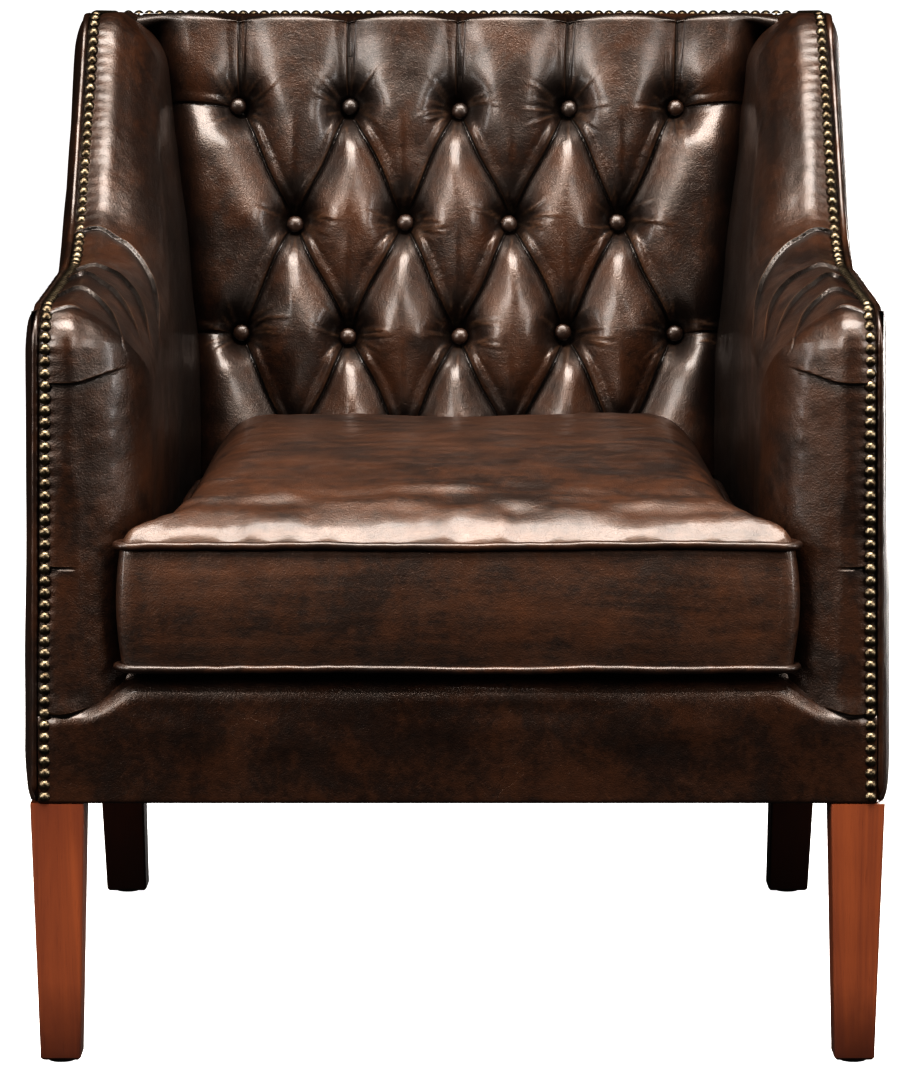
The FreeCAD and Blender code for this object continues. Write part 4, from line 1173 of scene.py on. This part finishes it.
def seat_cushion():
    """A crowned, closed cushion with swelling borders and puckers beside its piping."""
    s = sizes()
    line = cushion_outline()
    ceiling = CUSHION_TOP_SEAM - 0.001
    points, faces = voxel_solid("cushion blank", line, CUSHION_BOTTOM, ceiling, s.cushion_mesh)
    x, depth, z = points.T
    inside, along, _, way = nearest(points[:, :2], line, True)
    normal = np.column_stack([way[:, 1], -way[:, 0]])
    middle_height = (CUSHION_TOP_SEAM + CUSHION_LOW_SEAM) / 2
    half_height = (CUSHION_TOP_SEAM - CUSHION_LOW_SEAM) / 2
    lumps = Lumps(101)
    on_top = z > CUSHION_TOP_SEAM - 0.0042
    below = z < CUSHION_BOTTOM + 0.0030
    border = ~on_top & ~below
    flat, ones = np.zeros(len(x)), np.ones(len(x))
    spots = np.column_stack([x, depth, flat])

    # The crown rises quickly from the sides and slowly from the front.
    from_sides = 1 - np.clip(1 - inside / 0.078, 0, 1) ** 2.3
    slow = 1 - np.clip(1 - (depth + 0.002) / 0.25, 0, 1) ** 2
    from_front = 0.22 * (1 - fade_out(inside, 0.013)) + 0.78 * slow
    rise = s.crown * (np.maximum(from_sides, 1e-3) ** -5 + np.maximum(from_front, 1e-3) ** -5) ** -0.2
    rise = rise * ramp(-0.002, 0.002, inside)

    # Puckers beside the piping, broad lumps, and crinkles across the front.
    pucker = lumps(np.column_stack([along, inside * 0.35, flat]), (0.016, 0.016, 1.0))
    fine = lumps(np.column_stack([along, inside * 0.5, ones]), (0.007, 0.010, 1.0))
    puckers = 0.0030 * pucker * fade_out(inside, 0.026) + 0.0009 * fine * fade_out(inside, 0.022)
    rise += puckers * ramp(0, 0.006, inside)
    rise += 0.0030 * lumps(spots, 0.13) * ramp(0.01, 0.08, inside)
    rise += 0.0011 * lumps(spots, 0.045) * ramp(0.01, 0.05, inside)
    crinkle = lumps(spots, (0.050, 0.011, 1.0)) * bell(depth - 0.050, 0.050)
    rise += 0.0026 * crinkle * ramp(0.006, 0.02, inside)
    rise += 0.0005 * lumps(spots, (0.016, 0.010, 1.0)) * ramp(0.01, 0.03, inside)

    # The border swells between its seams, but lies flat round the zip.
    level = (z - middle_height) / half_height
    bulge = np.clip(1 - level**2, 0, 1)
    swell = s.border_swell * bulge
    ribs = np.column_stack([along, z, flat])
    ribbed = 0.0012 * lumps(ribs, (0.09, 0.08, 1.0)) + 0.0005 * lumps(ribs, (0.02, 0.05, 1.0))
    swell += ribbed * np.clip(1 - level**4, 0, 1)
    zip_bed = ramp(0.470, 0.4735, depth) * (1 - ramp(ZIP_HALF, ZIP_HALF + 0.018, np.abs(x)))
    zip_bed *= 1 - ramp(0.015, 0.032, np.abs(z - ZIP_HEIGHT))
    swell = swell * (1 - zip_bed) - 0.0002 * zip_bed
    swell -= 0.0016 * bell(np.abs(x) - 0.262, 0.012) * (depth < 0.01) * bulge
    points[on_top, 2] += rise[on_top]
    points[:, :2] += normal * np.where(border, swell, 0.0)[:, None]
    points[below, 2] += 0.0006 * lumps(spots, 0.05)[below]
    points[:, 1] -= MIDDLE_DEPTH
    # Painted shade on the top beside the piping and on the lowest part of the border.
    painted_shade_and_stain = 0.175 * fade_out(inside, 0.02) * on_top + 0.25 * border * (level < -0.6)
    wear = 0.16 * bell(inside - 0.006, 0.004) * on_top
    return leather_mesh("seat_cushion_cover", points, faces, painted_shade_and_stain, wear)


def cushion_piping(name, z, seed):
    s = sizes()
    line = cushion_outline()
    way = np.roll(line, -1, 0) - np.roll(line, 1, 0)
    way /= np.linalg.norm(way, axis=1)[:, None]
    line = line + np.column_stack([way[:, 1], -way[:, 0]]) * (s.cushion_piping + 0.0001)
    line = evenly(line, 0.0030, True)
    lumps = Lumps(seed)
    spots = np.column_stack([line, np.zeros(len(line))])
    lift = z + 0.0011 * lumps(spots, 0.06) + 0.0004 * lumps(spots, 0.018)
    points = np.column_stack([line[:, 0], line[:, 1] - MIDDLE_DEPTH, lift])
    return tube(name, points, s.cushion_piping, True, sides=14, lumps=lumps)


# ---------------------------------------------------------------- operators


class CHAIR_OT_arm_covers(bpy.types.Operator):
    """Stretch the leather over both arms and wings, with its pleats"""

    bl_idname = "chair.arm_covers"
    bl_label = "Arm and wing covers"

    def execute(self, context):
        shell = arm_shell()
        finish = leather("arm leather", warm=0.50, gloss=0.34)
        for side, word in ((-1, "left"), (1, "right")):
            piece = arm_cover(side, shell)
            nodes = [f"arm_{part}_{word}" for part in ("cover", "facing", "pad")]
            dress(piece, finish, FRAME_BODY, nodes)
        return {"FINISHED"}


class CHAIR_OT_back_cover(bpy.types.Operator):
    """Button the inside back into diamonds"""

    bl_idname = "chair.back_cover"
    bl_label = "Buttoned back"

    def execute(self, context):
        piece = buttoned_back()
        finish = leather("back leather", warm=0.55, gloss=0.31)
        dress(piece, finish, FRAME_BODY, ["back_cover", "back_pad"])
        return {"FINISHED"}


class CHAIR_OT_buttons(bpy.types.Operator):
    """Set the covered buttons"""

    bl_idname = "chair.buttons"
    bl_label = "Covered buttons"

    def execute(self, context):
        piece = covered_buttons()
        finish = leather("button leather", warm=0.5, dark=0.5, grain=0.6, gloss=0.40)
        dress(piece, finish, FRAME_BODY, ["back_buttons"])
        return {"FINISHED"}


class CHAIR_OT_front_border(bpy.types.Operator):
    """Roll the leather over the front rail"""

    bl_idname = "chair.front_border"
    bl_label = "Front border"

    def execute(self, context):
        piece = front_border()
        finish = leather("border leather", warm=0.45, fade=0.01)
        dress(piece, finish, FRAME_BODY, ["front_border", "front_edge_roll"])
        return {"FINISHED"}


class CHAIR_OT_outside_covers(bpy.types.Operator):
    """Close the outside arms and the outside back"""

    bl_idname = "chair.outside_covers"
    bl_label = "Outside covers"

    def execute(self, context):
        finish = leather("outside leather", warm=0.35, dark=0.1, gloss=0.36)
        for side, word in ((-1, "left"), (1, "right")):
            dress(outside_arm(side), finish, FRAME_BODY, [f"outside_arm_{word}"])
        dress(outside_back(), finish, FRAME_BODY, ["outside_back"])
        return {"FINISHED"}


class CHAIR_OT_piping(bpy.types.Operator):
    """Lay the piping along the outer edges"""

    bl_idname = "chair.piping"
    bl_label = "Edge piping"

    def execute(self, context):
        finish = leather("piping leather", warm=0.5, grain=0.6, gloss=0.28)
        for side, word in ((-1, "left"), (1, "right")):
            dress(side_piping(side), finish, FRAME_BODY, [f"side_piping_{word}"])
        dress(back_piping(), finish, FRAME_BODY, ["back_piping"])
        return {"FINISHED"}


class CHAIR_OT_cushion(bpy.types.Operator):
    """Fill and pipe the loose seat cushion"""

    bl_idname = "chair.cushion"
    bl_label = "Seat cushion"

    def execute(self, context):
        nodes = ["cushion_core", "cushion_top_panel", "cushion_bottom_panel", "cushion_border"]
        piece = seat_cushion()
        finish = leather("seat leather", warm=0.90, streak=0.34, gloss=0.41, fade=0.035)
        dress(piece, finish, SEAT_BODY, nodes)
        finish = leather("cushion piping leather", warm=0.6, grain=0.6, gloss=0.36)
        for word, z, seed in (("lower", CUSHION_LOW_SEAM, 111), ("upper", CUSHION_TOP_SEAM, 112)):
            piece = cushion_piping(f"cushion_{word}_piping_welt", z, seed)
            dress(piece, finish, SEAT_BODY, [f"cushion_{word}_piping"])
        return {"FINISHED"}


class CHAIR_OT_frame_finishes(bpy.types.Operator):
    """Finish the legs, frame, springs, fabrics and fittings"""

    bl_idname = "chair.frame_finishes"
    bl_label = "Frame finishes"

    def execute(self, context):
        shades = colours()
        front = leg_wood("front leg wood", shades.leg_wood, shades.leg_wood_dark, 0.85)
        # The rear legs get their own copy of the leg stain, darkened to 0.13 and 0.2 of it: painted shade, so
        # they look as if they stood in shadow. A real chair would most likely have the same stain on all four
        # legs.
        light, dark = tuple(0.13 * c for c in shades.leg_wood), tuple(0.2 * c for c in shades.leg_wood_dark)
        rear = leg_wood("rear leg wood in painted shade", light, dark, 0.6)
        makers = {
            "frame_wood": frame_wood(),
            "stained_wood": front,
            "plated_steel": steel("plated steel", 0.55, 0.3),
            "spring_steel": steel("spring steel", 0.24),
            "glide_nylon": moulded("glide nylon", (0.03, 0.03, 0.03)),
            "hessian": woven("hessian", (0.47, 0.34, 0.19), (0.20, 0.13, 0.06), 620, 0.0006),
            "webbing": woven("webbing", (0.10, 0.09, 0.08), (0.03, 0.03, 0.03), 500, 0.0005),
            "dust_cloth": woven("dust cloth", (0.020, 0.020, 0.021), (0.008, 0.008, 0.008), 900, 0.0002),
            "foam": plain_foam(),
            "aged_brass": aged_brass(),
            "twine": woven("twine", (0.50, 0.40, 0.25), (0.26, 0.19, 0.10), 900, 0.0003),
            "deck_cloth": woven("deck cloth", (0.060, 0.034, 0.020), (0.022, 0.012, 0.008), 700, 0.0003),
            "zip_tape": woven("zip tape", (0.030, 0.018, 0.012), (0.012, 0.008, 0.006), 1100, 0.0002),
            "zip_metal": steel("zip metal", 0.35, 0.9),
        }
        for node in frame_nodes():
            if node.hide_render:
                continue
            slot = node.data.materials[0].name.split(".")[0]
            finish = rear if node.name.startswith("rear_leg") else makers.get(slot)
            if finish is None:
                raise RuntimeError(f"{node.name} has no finish for {slot}")
            paint(node, finish)
        return {"FINISHED"}


def frame_nodes():
    return [o for o in bpy.data.objects if o.type == "MESH" and o.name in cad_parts]


class CHAIR_OT_stage(bpy.types.Operator):
    """Set up the floor, the soft lights and the camera"""

    bl_idname = "chair.stage"
    bl_label = "Floor, lights and camera"

    def execute(self, context):
        sweep()
        lights()
        camera()
        return {"FINISHED"}


def sweep():
    """A pale floor that curves up into a backdrop."""
    profile = rounded([(-14.0, 0.0, 0.0), (14.0, 0.0, 4.0), (14.0, 12.0, 0.0)], False)
    x = np.linspace(-14, 14, 9)
    points = np.array([(a, y, z) for y, z in profile for a in x])
    piece = make_mesh("floor_sweep", points, grid_faces(len(profile), len(x)))
    paint(piece, floor_finish())


def soft_box(name, place, aim, width, height, power, tone=(1.0, 1.0, 1.0)):
    data = bpy.data.lights.new(name, "AREA")
    data.shape = "RECTANGLE"
    data.size, data.size_y = width, height
    data.energy = power
    data.color = tone
    lamp = bpy.data.objects.new(name, data)
    lamp.location = place
    lamp.rotation_euler = (Vector(aim) - Vector(place)).to_track_quat("-Z", "Y").to_euler()
    bpy.context.scene.collection.objects.link(lamp)


def lights():
    soft_box("overhead_soft_box", (0.0, -1.25, 2.75), (0, -0.05, 0.5), 2.8, 1.10, 250, WARM_WHITE)
    soft_box("left_key", (-2.3, -2.6, 1.85), (0, 0, 0.6), 1.1, 1.3, 95, WARM_WHITE)
    soft_box("right_key", (2.2, -2.4, 1.75), (0, 0, 0.6), 0.8, 1.2, 48, WARM_WHITE)
    soft_box("rear_fill", (1.7, 3.0, 0.45), (0, 0.3, 0.45), 2.2, 0.8, 80, WARM_WHITE)
    soft_box("left_strip", (-2.3, -1.0, 0.95), (0, 0, 0.55), 0.30, 1.3, 22)
    soft_box("right_strip", (2.3, -1.0, 0.95), (0, 0, 0.55), 0.30, 1.3, 26)
    world = bpy.data.worlds.new("pale room")
    bpy.context.scene.world = world
    world.use_nodes = True
    tree = world.node_tree
    ray = tree.nodes.new("ShaderNodeLightPath").outputs["Is Camera Ray"]
    level = tree.nodes.new("ShaderNodeMapRange")
    level.inputs["To Min"].default_value = 0.015
    level.inputs["To Max"].default_value = 1.0
    tree.links.new(ray, level.inputs["Value"])
    tree.links.new(level.outputs[0], tree.nodes["Background"].inputs["Strength"])
    tree.nodes["Background"].inputs["Color"].default_value = (1.0, 1.0, 1.0, 1.0)


def camera():
    data = bpy.data.cameras.new("camera")
    data.lens = 133.4
    data.sensor_width = 36.0
    piece = bpy.data.objects.new("camera", data)
    piece.location = (0.0, -MIDDLE_DEPTH - 3.3, 0.880)
    piece.rotation_euler = (math.radians(90 - 7.44), 0, 0)
    bpy.context.scene.collection.objects.link(piece)
    bpy.context.scene.camera = piece
    bpy.context.scene.view_settings.view_transform = "Standard"
    bpy.context.scene.view_settings.look = "High Contrast"


STEPS = (
    CHAIR_OT_arm_covers,
    CHAIR_OT_back_cover,
    CHAIR_OT_buttons,
    CHAIR_OT_front_border,
    CHAIR_OT_outside_covers,
    CHAIR_OT_piping,
    CHAIR_OT_cushion,
    CHAIR_OT_frame_finishes,
    CHAIR_OT_stage,
)


class CHAIR_PT_pieces(bpy.types.Panel):
    """Lists the chair's sizes, colours and pieces"""

    bl_idname = "CHAIR_PT_pieces"
    bl_label = "Armchair"
    bl_space_type = "VIEW_3D"
    bl_region_type = "UI"
    bl_category = "Armchair"

    def draw(self, context):
        for group in (context.scene.chair_sizes, context.scene.chair_colours):
            box = self.layout.box()
            for key in group.__annotations__:
                box.prop(group, key)
        for step in STEPS:
            self.layout.operator(step.bl_idname)


CLASSES = (ChairSizes, ChairColours, *STEPS, CHAIR_PT_pieces)


def register():
    for cls in CLASSES:
        bpy.utils.register_class(cls)
    bpy.types.Scene.chair_sizes = bpy.props.PointerProperty(type=ChairSizes)
    bpy.types.Scene.chair_colours = bpy.props.PointerProperty(type=ChairColours)


def unregister():
    del bpy.types.Scene.chair_colours
    del bpy.types.Scene.chair_sizes
    for cls in reversed(CLASSES):
        bpy.utils.unregister_class(cls)


def main():
    register()
    for step in STEPS:
        family, word = step.bl_idname.split(".")
        getattr(getattr(bpy.ops, family), word)()


if __name__ == "__main__":
    main()
